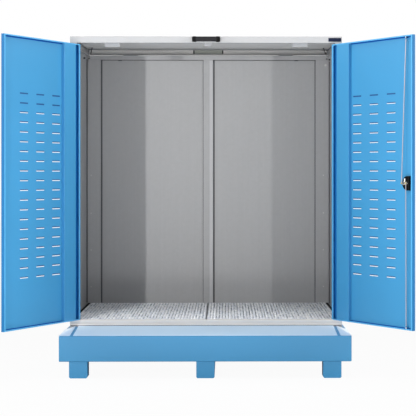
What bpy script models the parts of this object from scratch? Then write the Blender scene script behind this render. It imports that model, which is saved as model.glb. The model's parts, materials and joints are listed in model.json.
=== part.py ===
"""Hazardous drum store: a two-door steel cabinet with a lift-up lid on a spill sump with skids.

Metres, +Z up. The origin is on the floor, under the middle of the door opening.
The doors stand open as photographed; X is left to right, Y runs from the doors to the back wall.
"""

import math

import bmesh
import bpy
from mathutils import Vector

# Running clearance between pieces that touch, and how far a cutter overruns what it cuts
SEAT_GAP = 0.0003
CUT_OVERRUN = 0.004

# Cabinet body
CABINET_WIDTH = 1.700
CABINET_DEPTH = 1.2485
SHEET = 0.0015
FRONT_POST_WIDTH = 0.042

# Spill sump and fork-lift skids
SKID_HEIGHT = 0.100
SKID_WIDTH = 0.110
SKID_INSET = 0.116
SKID_WALL = 0.004
SKID_CHAMFER = 0.007
SKID_SETBACK = 0.005
SKID_FOOT_DEPTH = 0.110
SUMP_SIDE_OVERHANG = 0.030
SUMP_BACK_OVERHANG = 0.030
SUMP_FRONT_REACH = 0.358
SUMP_RIM_Z = 0.2549
SUMP_WALL = 0.003
SUMP_RIM_WIDTH = 0.100

# Rain cover over the front of the sump
COVER_END_WIDTH = 0.066
COVER_JOINT = 0.019
COVER_SHEET = 0.002
COVER_FRONT_EDGE = 0.0023
COVER_BACK_RISE = 0.0253
COVER_END_BACK_RISE = 0.0240
COVER_BACK_GAP = 0.0013

# Base frame, threshold and floor gratings
BASE_HEIGHT = 0.0255
BASE_SETBACK = 0.004
BASE_MEMBER_WIDTH = 0.060
BASE_CENTRE_BAR_WIDTH = 0.060
RAIL_HEIGHT = 0.035
RAIL_DEPTH = 0.040
RAIL_SHEET = 0.002
GRATING_HEIGHT = 0.0374
GRATING_MIDDLE_GAP = 0.008
GRATING_WALL_GAP = 0.0205
GRATING_END_GAP = 0.002
GRATING_FRAME = 0.012
GRATING_BAR = 0.005
GRATING_SLOTS = 10

# Front posts and back wall
POST_DEPTH = 0.040
POST_LIP = 0.022
BACK_FRAME_DEPTH = 0.0385
BACK_RAIL_DROP = 0.014
BACK_RAIL_HEIGHT = 0.0305
BACK_CORNER_FACE = 0.0897
BACK_CENTRE_POST_WIDTH = 0.069
BACK_JOINT = 0.011
BACK_LIP = 0.018
BACK_PANEL_SETBACK = 0.012
BACK_PANEL_DEPTH = 0.020
BACK_PANEL_SHEET = 0.0012

# Lid: a shallow tray that slopes up to the back
LID_FRONT_Z = 2.048
LID_BACK_RISE = 0.0215
LID_SKIRT = 0.040
TOP_RAIL_HEIGHT = 0.032
TOP_RAIL_DEPTH = 0.035
TOP_RAIL_SHEET = 0.0018
TOP_RAIL_END_GAP = 0.0035
SIDE_RAIL_THICKNESS = 0.010
SIDE_RAIL_HEIGHT = 0.030
SIDE_RAIL_DROP = 0.012
LID_HINGE_INSET = 0.300

# What is fixed to the lid and hangs from the front header
BOW_HANDLE_WIDTH = 0.175
BOW_HANDLE_HEIGHT = 0.034
BOW_HANDLE_REACH = 0.034
BOW_HANDLE_FOOT = 0.025
BOW_HANDLE_BAR = 0.010
BOW_HANDLE_RISE = 0.0045
NAME_PLATE_WIDTH = 0.080
NAME_PLATE_HEIGHT = 0.023
NAME_PLATE_THICKNESS = 0.0015
NAME_PLATE_EDGE = 0.005
NAME_PLATE_RISE = 0.008
BACK_PLATE_WIDTH = 0.213
BACK_PLATE_HEIGHT = 0.029
BACK_PLATE_THICKNESS = 0.003
BACK_PLATE_DROP = 0.001
STOP_WIDTH = 0.095
STOP_DROP = 0.024
STOP_INSET = 0.220
STOP_THICKNESS = 0.002
STOP_BEHIND_DOOR = 0.0015
CENTRE_STOP_WIDTH = 0.046
CENTRE_STOP_DROP = 0.0175
CENTRE_STOP_X = 0.010

# Doors
LEFT_DOOR_OPEN_DEGREES = 117.2
RIGHT_DOOR_OPEN_DEGREES = 121.2
DOOR_THICKNESS = 0.022
DOOR_HINGE_GAP = 0.002
DOOR_MIDDLE_GAP = 0.003
DOOR_BOTTOM_GAP = 0.003
DOOR_TOP_GAP = 0.0115
HINGE_AXIS_FORWARD = 0.006
HINGE_LIP = 0.016
FREE_LIP = 0.014
END_LIP = 0.008
STILE_START = 0.053
STILE_WIDTH = 0.127
STILE_SHEET = 0.0015
LOUVRE_ROWS = 20
LOUVRE_BOTTOM_MARGIN = 0.2954
LOUVRE_TOP_MARGIN = 0.3344
LOUVRE_COLUMNS = 3
LOUVRE_HINGE_MARGIN = 0.199
LOUVRE_FREE_MARGIN = 0.1845
LOUVRE_LENGTH = 0.084
LOUVRE_SLIT = 0.007
LOUVRE_HOOD_HEIGHT = 0.009
LOUVRE_HOOD_DEPTH = 0.007
LEFT_CLOSED_ROWS = 2
RIGHT_CLOSED_ROWS = 1

# Hinges, the same pattern for the doors and the lid
HINGE_LENGTH = 0.100
HINGE_LEAF_REACH = 0.034
HINGE_LEAF = 0.003
HINGE_SEAT_GAP = 0.0004
HINGE_PIN_RADIUS = 0.003
HINGE_ARC_STEPS = 14
DOOR_HINGE_MARGIN = 0.230

# Rod lock on the right door
LOCK_BACKSET = 0.0735
LOCK_UNDER_MIDDLE = 0.00375
CASE_STRAIGHT = 0.020
CASE_HALF_HEIGHT = 0.0425
CASE_EDGE_FROM_LOCK = 0.0395
CASE_THICKNESS = 0.0184
SPINDLE_RADIUS = 0.005
BORE_CLEARANCE = 0.0006
CAM_RADIUS = 0.020
CAM_END_RADIUS = 0.008
CAM_THICKNESS = 0.003
CAM_BOSS_RADIUS = 0.011
CAM_BOSS_HEIGHT = 0.0048
ROD_RADIUS = 0.003
ROD_GUIDE_SHIFT = 0.0054
ROD_N = 0.0195
ROD_TIP_GAP = 0.0013
ROD_OVER_CAM = 0.0005
ROD_HOLE_CLEARANCE = 0.002
GUIDE_WIDTH = 0.018
GUIDE_HEIGHT = 0.004
GUIDE_FROM_END = 0.019
ESCUTCHEON_WIDTH = 0.050
ESCUTCHEON_HEIGHT = 0.140
ESCUTCHEON_THICKNESS = 0.0035
GRIP_LENGTH = 0.110
GRIP_WIDTH = 0.020
GRIP_THICKNESS = 0.010
GRIP_HUB_RADIUS = 0.014
GRIP_STANDOFF = 0.012
KEY_RADIUS = 0.009
KEY_DROP = 0.045
KEY_PROUD = 0.003
ROUND_STEPS = 24
SMOOTH_UNDER_DEGREES = 35

# Places worked out from the sizes above
HALF = CABINET_WIDTH / 2
OPENING_HALF_WIDTH = HALF - FRONT_POST_WIDTH
BACK_FRAME_Y = CABINET_DEPTH - BACK_FRAME_DEPTH
BACK_RAIL_BOTTOM_Z = LID_FRONT_Z - BACK_RAIL_DROP
LID_HINGE_X = HALF - LID_HINGE_INSET
STOP_CENTRE_X = OPENING_HALF_WIDTH - STOP_INSET
BASE_Z = SUMP_RIM_Z + SEAT_GAP
BASE_TOP_Z = BASE_Z + BASE_HEIGHT
RAIL_Z = BASE_TOP_Z + SEAT_GAP
RAIL_TOP_Z = RAIL_Z + RAIL_HEIGHT
INNER_X = HALF - SHEET - SEAT_GAP
DOOR_Z = RAIL_TOP_Z + DOOR_BOTTOM_GAP
DOOR_TOP_Z = LID_FRONT_Z - DOOR_TOP_GAP
AXIS_X = OPENING_HALF_WIDTH - DOOR_HINGE_GAP / 2
AXIS_Y = -HINGE_AXIS_FORWARD
DOOR_MIDDLE_Z = (DOOR_Z + DOOR_TOP_Z) / 2
DOOR_U = DOOR_HINGE_GAP / 2
DOOR_END_U = AXIS_X - DOOR_MIDDLE_GAP / 2
LOCK_U = DOOR_END_U - LOCK_BACKSET
LOCK_Z = DOOR_MIDDLE_Z - LOCK_UNDER_MIDDLE
ROD_GUIDE_U = LOCK_U + ROD_GUIDE_SHIFT
DOOR_N = HINGE_AXIS_FORWARD
DOOR_IN_N = DOOR_N + DOOR_THICKNESS
PANEL_N = DOOR_N + SHEET
STOP_Y = AXIS_Y + DOOR_IN_N + STOP_BEHIND_DOOR
CASE_N = PANEL_N + SEAT_GAP
CASE_FACE_N = CASE_N + CASE_THICKNESS
CAM_N = CASE_FACE_N + BORE_CLEARANCE
CAM_FACE_N = CAM_N + CAM_THICKNESS
SUMP_HALF = HALF + SUMP_SIDE_OVERHANG
SKID_CENTRE_X = SUMP_HALF - SKID_INSET
COVER_END_START_X = SUMP_HALF - COVER_END_WIDTH
COVER_HALF_WIDTH = COVER_END_START_X - COVER_JOINT
SUMP_BACK_Y = CABINET_DEPTH + SUMP_BACK_OVERHANG


def lid_line(y):
    """Height of the joint between the cabinet and its lid at depth y."""
    return LID_FRONT_Z + LID_BACK_RISE * y / CABINET_DEPTH


def material(name, colour, roughness, metallic):
    """A Principled material in linear colour."""
    made = bpy.data.materials.new(name)
    made.use_nodes = True
    shader = made.node_tree.nodes["Principled BSDF"]
    shader.inputs["Base Color"].default_value = (*colour, 1)
    shader.inputs["Roughness"].default_value = roughness
    shader.inputs["Metallic"].default_value = metallic
    made.diffuse_color = (*colour, 1)
    return made


def add_object(name, mesh_or_curve, finish, parent):
    """Link an object into the scene under its parent."""
    added = bpy.data.objects.new(name, mesh_or_curve)
    bpy.context.collection.objects.link(added)
    added.parent = parent
    if finish:
        mesh_or_curve.materials.append(finish.copy())
    return added


def axis_empty(name, place, parent=None, turn_z=0):
    """An empty on a joint axis, which carries what moves about it."""
    empty = bpy.data.objects.new(name, None)
    bpy.context.collection.objects.link(empty)
    empty.location = place
    empty.rotation_euler = (0, 0, turn_z)
    empty.parent = parent
    return empty


def along(axis, a, b, c):
    """Put a point of an outline, (a, b), at c along the axis it is extruded on."""
    return {"X": (c, a, b), "Y": (a, c, b), "Z": (a, b, c)}[axis]


def add_prism(mesh, outline, axis, start, end):
    """Extrude an outline along an axis, inside an open bmesh."""
    base = [mesh.verts.new(along(axis, a, b, start)) for a, b in outline]
    face = mesh.faces.new(base)
    grown = bmesh.ops.extrude_face_region(mesh, geom=[face])
    moved = [item for item in grown["geom"] if isinstance(item, bmesh.types.BMVert)]
    shift = Vector(along(axis, 0, 0, end - start))
    bmesh.ops.translate(mesh, verts=moved, vec=shift)


def mesh_of(name, prisms):
    """A mesh made of one or more prisms, with its faces pointing out."""
    built = bmesh.new()
    for outline, axis, start, end in prisms:
        add_prism(built, outline, axis, start, end)
    bmesh.ops.recalc_face_normals(built, faces=built.faces)
    made = bpy.data.meshes.new(name)
    built.to_mesh(made)
    built.free()
    return made


def prism(name, outline, axis, start, end, finish, parent=None):
    """One extruded piece."""
    return add_object(name, mesh_of(name, [(outline, axis, start, end)]), finish, parent)


def rectangle(a0, a1, b0, b1):
    """The corners of a rectangle, whichever way round its limits come."""
    a0, a1 = sorted((a0, a1))
    b0, b1 = sorted((b0, b1))
    return [(a0, b0), (a1, b0), (a1, b1), (a0, b1)]


def box(name, x, y, z, finish, parent=None):
    """One rectangular piece between pairs of limits."""
    return prism(name, rectangle(*x, *y), "Z", z[0], z[1], finish, parent)


def circle(a, b, radius, steps=ROUND_STEPS):
    """The corners of a round outline."""
    turns = [2 * math.pi * step / steps for step in range(steps)]
    return [(a + radius * math.cos(turn), b + radius * math.sin(turn)) for turn in turns]


def mirrored(side, outline):
    """An outline in plan on the right (1) or mirrored to the left (-1)."""
    return [(side * a, b) for a, b in outline]


def combine(body, prisms, operation):
    """Cut prisms from a piece, or join them to it, with a Boolean modifier."""
    name = f"{body.name}.{operation.lower()}.{len(body.modifiers)}"
    tool = add_object(name, mesh_of(name, prisms), None, body.parent)
    tool.hide_render = True
    tool.display_type = "WIRE"
    modifier = body.modifiers.new(name, "BOOLEAN")
    modifier.operation = operation
    modifier.object = tool


def cut(body, *prisms):
    combine(body, prisms, "DIFFERENCE")


def join(body, *prisms):
    combine(body, prisms, "UNION")


def smooth(body):
    """Round pieces are shaded smooth, with their edges left sharp."""
    body.data.shade_smooth()
    body.data.set_sharp_from_angle(angle=math.radians(SMOOTH_UNDER_DEGREES))


def build_sump(blue):
    """The welded tray that holds a spill, on three fork-lift skids."""
    floor_z = SKID_HEIGHT + SEAT_GAP
    tank = box(
        "sump_tank",
        (-SUMP_HALF, SUMP_HALF),
        (-SUMP_FRONT_REACH, SUMP_BACK_Y),
        (floor_z, SUMP_RIM_Z),
        blue,
    )
    inside = rectangle(
        -SUMP_HALF + SUMP_WALL,
        SUMP_HALF - SUMP_WALL,
        -SUMP_FRONT_REACH + SUMP_WALL,
        SUMP_BACK_Y - SUMP_WALL,
    )
    cut(tank, (inside, "Z", floor_z + SUMP_WALL, SUMP_RIM_Z - SUMP_WALL))
    mouth = rectangle(
        -SUMP_HALF + SUMP_RIM_WIDTH,
        SUMP_HALF - SUMP_RIM_WIDTH,
        -SUMP_FRONT_REACH + SUMP_RIM_WIDTH,
        SUMP_BACK_Y - SUMP_RIM_WIDTH,
    )
    cut(tank, (mouth, "Z", SUMP_RIM_Z - 2 * SUMP_WALL, SUMP_RIM_Z + CUT_OVERRUN))
    for name, x in (("left", -SKID_CENTRE_X), ("centre", 0), ("right", SKID_CENTRE_X)):
        build_skid(f"skid_{name}", x, blue)


def build_skid(name, x, blue):
    """A skid under the tank, chamfered along its lower edges.

    The centre skid is a channel from front to back with closed ends. Each outer skid is a flat bar
    with a box foot at both ends, each open towards the middle.
    """
    half = SKID_WIDTH / 2
    front_y = -SUMP_FRONT_REACH + SKID_SETBACK
    back_y = SUMP_BACK_Y - SKID_SETBACK
    outline = [
        (x - half + SKID_CHAMFER, 0),
        (x + half - SKID_CHAMFER, 0),
        (x + half, SKID_CHAMFER),
        (x + half, SKID_HEIGHT),
        (x - half, SKID_HEIGHT),
        (x - half, SKID_CHAMFER),
    ]
    inner = (x - half + SKID_WALL, x + half - SKID_WALL)
    floor_z = SKID_CHAMFER + SKID_WALL
    if x == 0:
        skid = prism(name, outline, "Y", front_y, back_y, blue)
        hollow = rectangle(*inner, front_y + SKID_WALL, back_y - SKID_WALL)
        cut(skid, (hollow, "Z", floor_z, SKID_HEIGHT + CUT_OVERRUN))
        return
    foot_end, foot_start = front_y + SKID_FOOT_DEPTH, back_y - SKID_FOOT_DEPTH
    skid = prism(name, outline, "Y", front_y, foot_end, blue)
    bar = rectangle(x - half, x + half, SKID_HEIGHT - SKID_WALL, SKID_HEIGHT)
    join(skid, (outline, "Y", foot_start, back_y), (bar, "Y", front_y, back_y))
    hollow = rectangle(*inner, floor_z, SKID_HEIGHT - SKID_WALL)
    cut(
        skid,
        (hollow, "Y", front_y + SKID_WALL, foot_end + CUT_OVERRUN),
        (hollow, "Y", foot_start - CUT_OVERRUN, back_y - SKID_WALL),
    )


def folded_cover(name, inner_x, outer_x, inner_rise, outer_rise, blue):
    """A sheet folded down at both sides, level along the front edge and raised at the back."""
    y_limits = (-SUMP_FRONT_REACH, -COVER_BACK_GAP)
    seat_z = BASE_Z
    inward = math.copysign(COVER_SHEET, inner_x - outer_x)
    under = COVER_FRONT_EDGE - COVER_SHEET
    built = bmesh.new()
    rings = []
    for y, rises in zip(y_limits, ((COVER_FRONT_EDGE,) * 2, (inner_rise, outer_rise))):
        inner_z, outer_z = (seat_z + rise for rise in rises)
        section = [
            (outer_x, seat_z),
            (outer_x, outer_z),
            (inner_x, inner_z),
            (inner_x, seat_z),
            (inner_x - inward, seat_z),
            (inner_x - inward, max(inner_z - COVER_SHEET, seat_z + under)),
            (outer_x + inward, max(outer_z - COVER_SHEET, seat_z + under)),
            (outer_x + inward, seat_z),
        ]
        rings.append([built.verts.new((x, y, z)) for x, z in section])
    front, back = rings
    count = len(front)
    for index in range(count):
        after = (index + 1) % count
        built.faces.new((front[index], front[after], back[after]))
        built.faces.new((front[index], back[after], back[index]))
    built.faces.new(front)
    built.faces.new(back)
    bmesh.ops.recalc_face_normals(built, faces=built.faces)
    made = bpy.data.meshes.new(name)
    built.to_mesh(made)
    built.free()
    return add_object(name, made, blue, None)


def build_front_covers(blue):
    """The cover in front of the doors: a middle sheet between two end pieces, with open joints."""
    folded_cover(
        "front_cover", COVER_HALF_WIDTH, -COVER_HALF_WIDTH, COVER_BACK_RISE, COVER_BACK_RISE, blue
    )
    for side, name in ((-1, "left"), (1, "right")):
        folded_cover(
            f"front_cover_{name}_end",
            side * COVER_END_START_X,
            side * SUMP_HALF,
            COVER_END_BACK_RISE,
            COVER_FRONT_EDGE,
            blue,
        )


def build_base(zinc, pale):
    """The frame that stands on the sump's rim, and the threshold rail in front of the gratings."""
    base = box("base_frame", (-HALF, HALF), (BASE_SETBACK, CABINET_DEPTH), (BASE_Z, BASE_TOP_Z), zinc)
    inner = HALF - BASE_MEMBER_WIDTH
    bar = BASE_CENTRE_BAR_WIDTH / 2
    front_y = BASE_SETBACK + BASE_MEMBER_WIDTH
    back_y = CABINET_DEPTH - BASE_MEMBER_WIDTH
    bays = [rectangle(side * bar, side * inner, front_y, back_y) for side in (-1, 1)]
    cut(base, *[(bay, "Z", BASE_Z - CUT_OVERRUN, BASE_TOP_Z + CUT_OVERRUN) for bay in bays])
    top = RAIL_TOP_Z
    section = [
        (0, RAIL_Z),
        (RAIL_DEPTH, RAIL_Z),
        (RAIL_DEPTH, RAIL_Z + RAIL_SHEET),
        (RAIL_SHEET, RAIL_Z + RAIL_SHEET),
        (RAIL_SHEET, top - RAIL_SHEET),
        (RAIL_DEPTH, top - RAIL_SHEET),
        (RAIL_DEPTH, top),
        (0, top),
    ]
    rail = prism("threshold_rail", section, "X", -INNER_X, INNER_X, pale)
    cut(rail, rod_hole(top - 2 * RAIL_SHEET, top + CUT_OVERRUN))


def rod_hole(z0, z1):
    """The keeper hole that a lock rod enters when the right door is shut."""
    hole = circle(AXIS_X - ROD_GUIDE_U, AXIS_Y + ROD_N, ROD_RADIUS + ROD_HOLE_CLEARANCE)
    return (hole, "Z", z0, z1)


def build_gratings(zinc):
    """Two lift-out gratings side by side, each a frame with bearing bars from front to back."""
    x_limits = (GRATING_MIDDLE_GAP / 2, HALF - SHEET - GRATING_WALL_GAP)
    y_limits = (RAIL_DEPTH + GRATING_END_GAP, BACK_FRAME_Y - GRATING_END_GAP)
    z_limits = (RAIL_Z, RAIL_Z + GRATING_HEIGHT)
    pitch = (x_limits[1] - x_limits[0] - 2 * GRATING_FRAME + GRATING_BAR) / GRATING_SLOTS
    slot_y = (y_limits[0] + GRATING_FRAME, y_limits[1] - GRATING_FRAME)
    for side, name in ((-1, "left"), (1, "right")):
        grating = box(f"grating_{name}", [side * x for x in x_limits], y_limits, z_limits, zinc)
        slots = []
        for number in range(GRATING_SLOTS):
            x = x_limits[0] + GRATING_FRAME + number * pitch
            slot = rectangle(side * x, side * (x + pitch - GRATING_BAR), *slot_y)
            slots.append((slot, "Z", z_limits[0] - CUT_OVERRUN, z_limits[1] + CUT_OVERRUN))
        cut(grating, *slots)


def build_walls(zinc, pale):
    """Side walls, front posts and the posts and panels of the back wall."""
    wall_y = (SHEET + SEAT_GAP, CABINET_DEPTH)
    side_outline = [
        (wall_y[0], RAIL_Z),
        (wall_y[1], RAIL_Z),
        (wall_y[1], lid_line(wall_y[1]) - SEAT_GAP),
        (wall_y[0], lid_line(wall_y[0]) - SEAT_GAP),
    ]
    post = OPENING_HALF_WIDTH
    front_section = [
        (post, 0),
        (HALF, 0),
        (HALF, SHEET),
        (post + SHEET, SHEET),
        (post + SHEET, POST_DEPTH - SHEET),
        (post + POST_LIP, POST_DEPTH - SHEET),
        (post + POST_LIP, POST_DEPTH),
        (post, POST_DEPTH),
    ]
    corner = INNER_X - BACK_CORNER_FACE
    for side, name in ((-1, "left"), (1, "right")):
        outer, inner = side * HALF, side * (HALF - SHEET)
        prism(f"side_wall_{name}", side_outline, "X", *sorted((outer, inner)), zinc)
        prism(
            f"front_post_{name}",
            mirrored(side, front_section),
            "Z",
            RAIL_TOP_Z + SEAT_GAP,
            LID_FRONT_Z - SEAT_GAP,
            pale,
        )
        back_channel(f"back_post_{name}", side * INNER_X, side * corner, zinc)
    half_post = BACK_CENTRE_POST_WIDTH / 2
    back_channel("back_centre_post", -half_post, half_post, zinc)
    panel_end = corner - BACK_JOINT
    back_panel("back_panel_left", -panel_end, -half_post - SEAT_GAP, zinc)
    back_panel("back_panel_right", half_post + BACK_JOINT, panel_end, zinc)


def back_channel(name, x0, x1, zinc):
    """A post of the back wall: a channel open to the back, with a lip at x1 that closes the joint beside it."""
    along_x = math.copysign(1, x1 - x0)
    sheet, lip = along_x * SHEET, along_x * BACK_LIP
    section = [
        (x0, BACK_FRAME_Y),
        (x1, BACK_FRAME_Y),
        (x1, CABINET_DEPTH - SHEET),
        (x1 + lip, CABINET_DEPTH - SHEET),
        (x1 + lip, CABINET_DEPTH),
        (x1 - sheet, CABINET_DEPTH),
        (x1 - sheet, BACK_FRAME_Y + SHEET),
        (x0 + sheet, BACK_FRAME_Y + SHEET),
        (x0 + sheet, CABINET_DEPTH),
        (x0, CABINET_DEPTH),
    ]
    return prism(name, section, "Z", RAIL_Z, BACK_RAIL_BOTTOM_Z - SEAT_GAP, zinc)


def back_panel(name, x0, x1, zinc):
    """A back wall panel: a sheet with its four edges folded back."""
    y0 = BACK_FRAME_Y + BACK_PANEL_SETBACK
    y1 = y0 + BACK_PANEL_DEPTH
    top = BACK_RAIL_BOTTOM_Z - SEAT_GAP
    panel = box(name, (x0, x1), (y0, y1), (RAIL_Z, top), zinc)
    fold = BACK_PANEL_SHEET
    behind = rectangle(x0 + fold, x1 - fold, y0 + fold, y1 + CUT_OVERRUN)
    cut(panel, (behind, "Z", RAIL_Z + fold, top - fold))


def build_top_frame(zinc):
    """The members that tie the walls together under the lid."""
    x = INNER_X - TOP_RAIL_END_GAP + SHEET
    y0, y1 = TOP_RAIL_END_GAP, TOP_RAIL_END_GAP + TOP_RAIL_DEPTH
    z0, z1 = LID_FRONT_Z, LID_FRONT_Z + TOP_RAIL_HEIGHT
    fold = TOP_RAIL_SHEET
    section = [
        (y0, z0),
        (y1, z0),
        (y1, z0 + fold),
        (y0 + fold, z0 + fold),
        (y0 + fold, z1 - fold),
        (y1, z1 - fold),
        (y1, z1),
        (y0, z1),
    ]
    header = prism("front_header", section, "X", -x, x, zinc)
    cut(header, rod_hole(z0 - CUT_OVERRUN, z0 + 2 * fold))
    y0, y1 = BACK_FRAME_Y, CABINET_DEPTH
    z0, z1 = BACK_RAIL_BOTTOM_Z, BACK_RAIL_BOTTOM_Z + BACK_RAIL_HEIGHT
    section = [
        (y0, z0),
        (y0 + fold, z0),
        (y0 + fold, z1 - fold),
        (y1 - fold, z1 - fold),
        (y1 - fold, z0),
        (y1, z0),
        (y1, z1),
        (y0, z1),
    ]
    prism("back_top_rail", section, "X", -INNER_X, INNER_X, zinc)
    y0 = TOP_RAIL_END_GAP + TOP_RAIL_DEPTH + SEAT_GAP
    y1 = BACK_FRAME_Y - SEAT_GAP
    low, high = -SIDE_RAIL_DROP, SIDE_RAIL_HEIGHT - SIDE_RAIL_DROP
    outline = [(y, lid_line(y) + rise) for y, rise in ((y0, low), (y1, low), (y1, high), (y0, high))]
    for side, name in ((-1, "left"), (1, "right")):
        limits = sorted((side * INNER_X, side * (INNER_X - SIDE_RAIL_THICKNESS)))
        prism(f"side_top_rail_{name}", outline, "X", *limits, zinc)


def build_stops(pale):
    """The plates under the front header that stop the shut doors."""
    places = (
        ("door_stop_left", -STOP_CENTRE_X, STOP_WIDTH, STOP_DROP),
        ("door_stop_right", STOP_CENTRE_X, STOP_WIDTH, STOP_DROP),
        ("door_stop_centre", CENTRE_STOP_X, CENTRE_STOP_WIDTH, CENTRE_STOP_DROP),
    )
    top = LID_FRONT_Z - SEAT_GAP
    for name, x, width, drop in places:
        box(name, (x - width / 2, x + width / 2), (STOP_Y, STOP_Y + STOP_THICKNESS), (top - drop, top), pale)


def build_lid(pale, dark, zinc):
    """The lid tray with its bow handle, blank plate and inner plate, all about the lid's hinge axis."""
    axis_y = CABINET_DEPTH + HINGE_AXIS_FORWARD
    axis_z = lid_line(CABINET_DEPTH)
    axis = axis_empty("lid_axis", (0, axis_y, axis_z))

    def local(outline):
        return [(y - axis_y, z - axis_z) for y, z in outline]

    y1 = CABINET_DEPTH
    outline = [(0, lid_line(0)), (y1, lid_line(y1)), (y1, lid_line(y1) + LID_SKIRT), (0, lid_line(0) + LID_SKIRT)]
    lid = prism("roof_lid", local(outline), "X", -HALF, HALF, pale, axis)
    front, back = SHEET, y1 - SHEET
    rise = LID_SKIRT - SHEET
    inside = [
        (front, lid_line(front) - CUT_OVERRUN),
        (back, lid_line(back) - CUT_OVERRUN),
        (back, lid_line(back) + rise),
        (front, lid_line(front) + rise),
    ]
    cut(lid, (local(inside), "X", -HALF + SHEET, HALF - SHEET))

    half = BOW_HANDLE_WIDTH / 2
    grip = half - BOW_HANDLE_FOOT
    face = -SEAT_GAP - axis_y
    reach = -BOW_HANDLE_REACH - axis_y
    bow = [
        (-half, face),
        (-half, reach),
        (half, reach),
        (half, face),
        (grip, face),
        (grip, reach + BOW_HANDLE_BAR),
        (-grip, reach + BOW_HANDLE_BAR),
        (-grip, face),
    ]
    bow_z = lid_line(0) + BOW_HANDLE_RISE - axis_z
    prism("lid_handle", bow, "Z", bow_z, bow_z + BOW_HANDLE_HEIGHT, dark, axis)

    plate_x = HALF - NAME_PLATE_EDGE
    plate_z = lid_line(0) + NAME_PLATE_RISE - axis_z
    box(
        "lid_blank_plate",
        (plate_x - NAME_PLATE_WIDTH, plate_x),
        (face - NAME_PLATE_THICKNESS, face),
        (plate_z, plate_z + NAME_PLATE_HEIGHT),
        dark,
        axis,
    )
    inner_y = back - SEAT_GAP - axis_y
    top = lid_line(back) + rise - BACK_PLATE_DROP - axis_z
    box(
        "lid_back_plate",
        (-BACK_PLATE_WIDTH / 2, BACK_PLATE_WIDTH / 2),
        (inner_y - BACK_PLATE_THICKNESS, inner_y),
        (top - BACK_PLATE_HEIGHT, top),
        zinc,
        axis,
    )
    seat = axis_empty("lid_hinge_line", axis.location)
    down = [(-b, -a) for a, b in knuckle(1)]
    up = [(-b, a) for a, b in knuckle(1)]
    for side, name in ((-1, "left"), (1, "right")):
        hinge(f"lid_hinge_{name}", "X", side * LID_HINGE_X, (down, seat), (up, axis), zinc)


def knuckle(leaf_side):
    """Section of one hinge half: a round knuckle about (0, 0) with a leaf to its right (1) or left (-1)."""
    radius = HINGE_AXIS_FORWARD - HINGE_SEAT_GAP
    leaf_in = radius - HINGE_LEAF
    start = math.pi / 2
    end = 2 * math.pi + math.asin(leaf_in / radius)
    turns = [start + (end - start) * step / HINGE_ARC_STEPS for step in range(HINGE_ARC_STEPS + 1)]
    outline = [(radius * math.cos(turn), radius * math.sin(turn)) for turn in turns]
    outline += [(HINGE_LEAF_REACH, leaf_in), (HINGE_LEAF_REACH, radius)]
    return [(leaf_side * a, b) for a, b in outline]


def hinge(name, axis_name, middle, fixed, moving, finish):
    """A two-part hinge: the fixed half holds the pin, and the moving half is bored to take it.

    fixed and moving are each a section of the knuckle and the empty that carries that half.
    """
    half = HINGE_LENGTH / 2
    section, seat = fixed
    lower = prism(f"{name}_fixed", section, axis_name, middle - half, middle - SEAT_GAP, finish, seat)
    pin = circle(0, 0, HINGE_PIN_RADIUS, HINGE_ARC_STEPS)
    join(lower, (pin, axis_name, middle - half / 2, middle + half - HINGE_LEAF))
    section, axis = moving
    upper = prism(f"{name}_moving", section, axis_name, middle, middle + half, finish, axis)
    bore = circle(0, 0, HINGE_PIN_RADIUS + BORE_CLEARANCE, HINGE_ARC_STEPS)
    cut(upper, (bore, axis_name, middle - CUT_OVERRUN, middle + half + CUT_OVERRUN))
    smooth(lower)
    smooth(upper)


def louvre_row(z, u, inward, closed):
    """One louvre: the hood pressed out of the sheet, and what is cut away under it.

    A closed louvre has its lip down at the slit's lower edge, so it can't be seen through.
    """
    low, high = z - LOUVRE_SLIT / 2, z + LOUVRE_SLIT / 2
    lip = low if closed else high
    top = high + LOUVRE_HOOD_HEIGHT
    inner, outer = DOOR_N + SHEET / 2, DOOR_N - LOUVRE_HOOD_DEPTH
    hood = [(inner, lip), (outer, lip), (outer, lip + SHEET), (inner, top + SHEET)]
    clear = PANEL_N + CUT_OVERRUN
    under = [(clear, low), (DOOR_N, low), (outer + SHEET, lip - SHEET), (outer + SHEET, lip), (clear, top)]
    start, end = inward * u, inward * (u + LOUVRE_LENGTH)
    cheek = inward * SHEET
    return (hood, "X", start - cheek, end + cheek), (under, "X", start, end)


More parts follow.
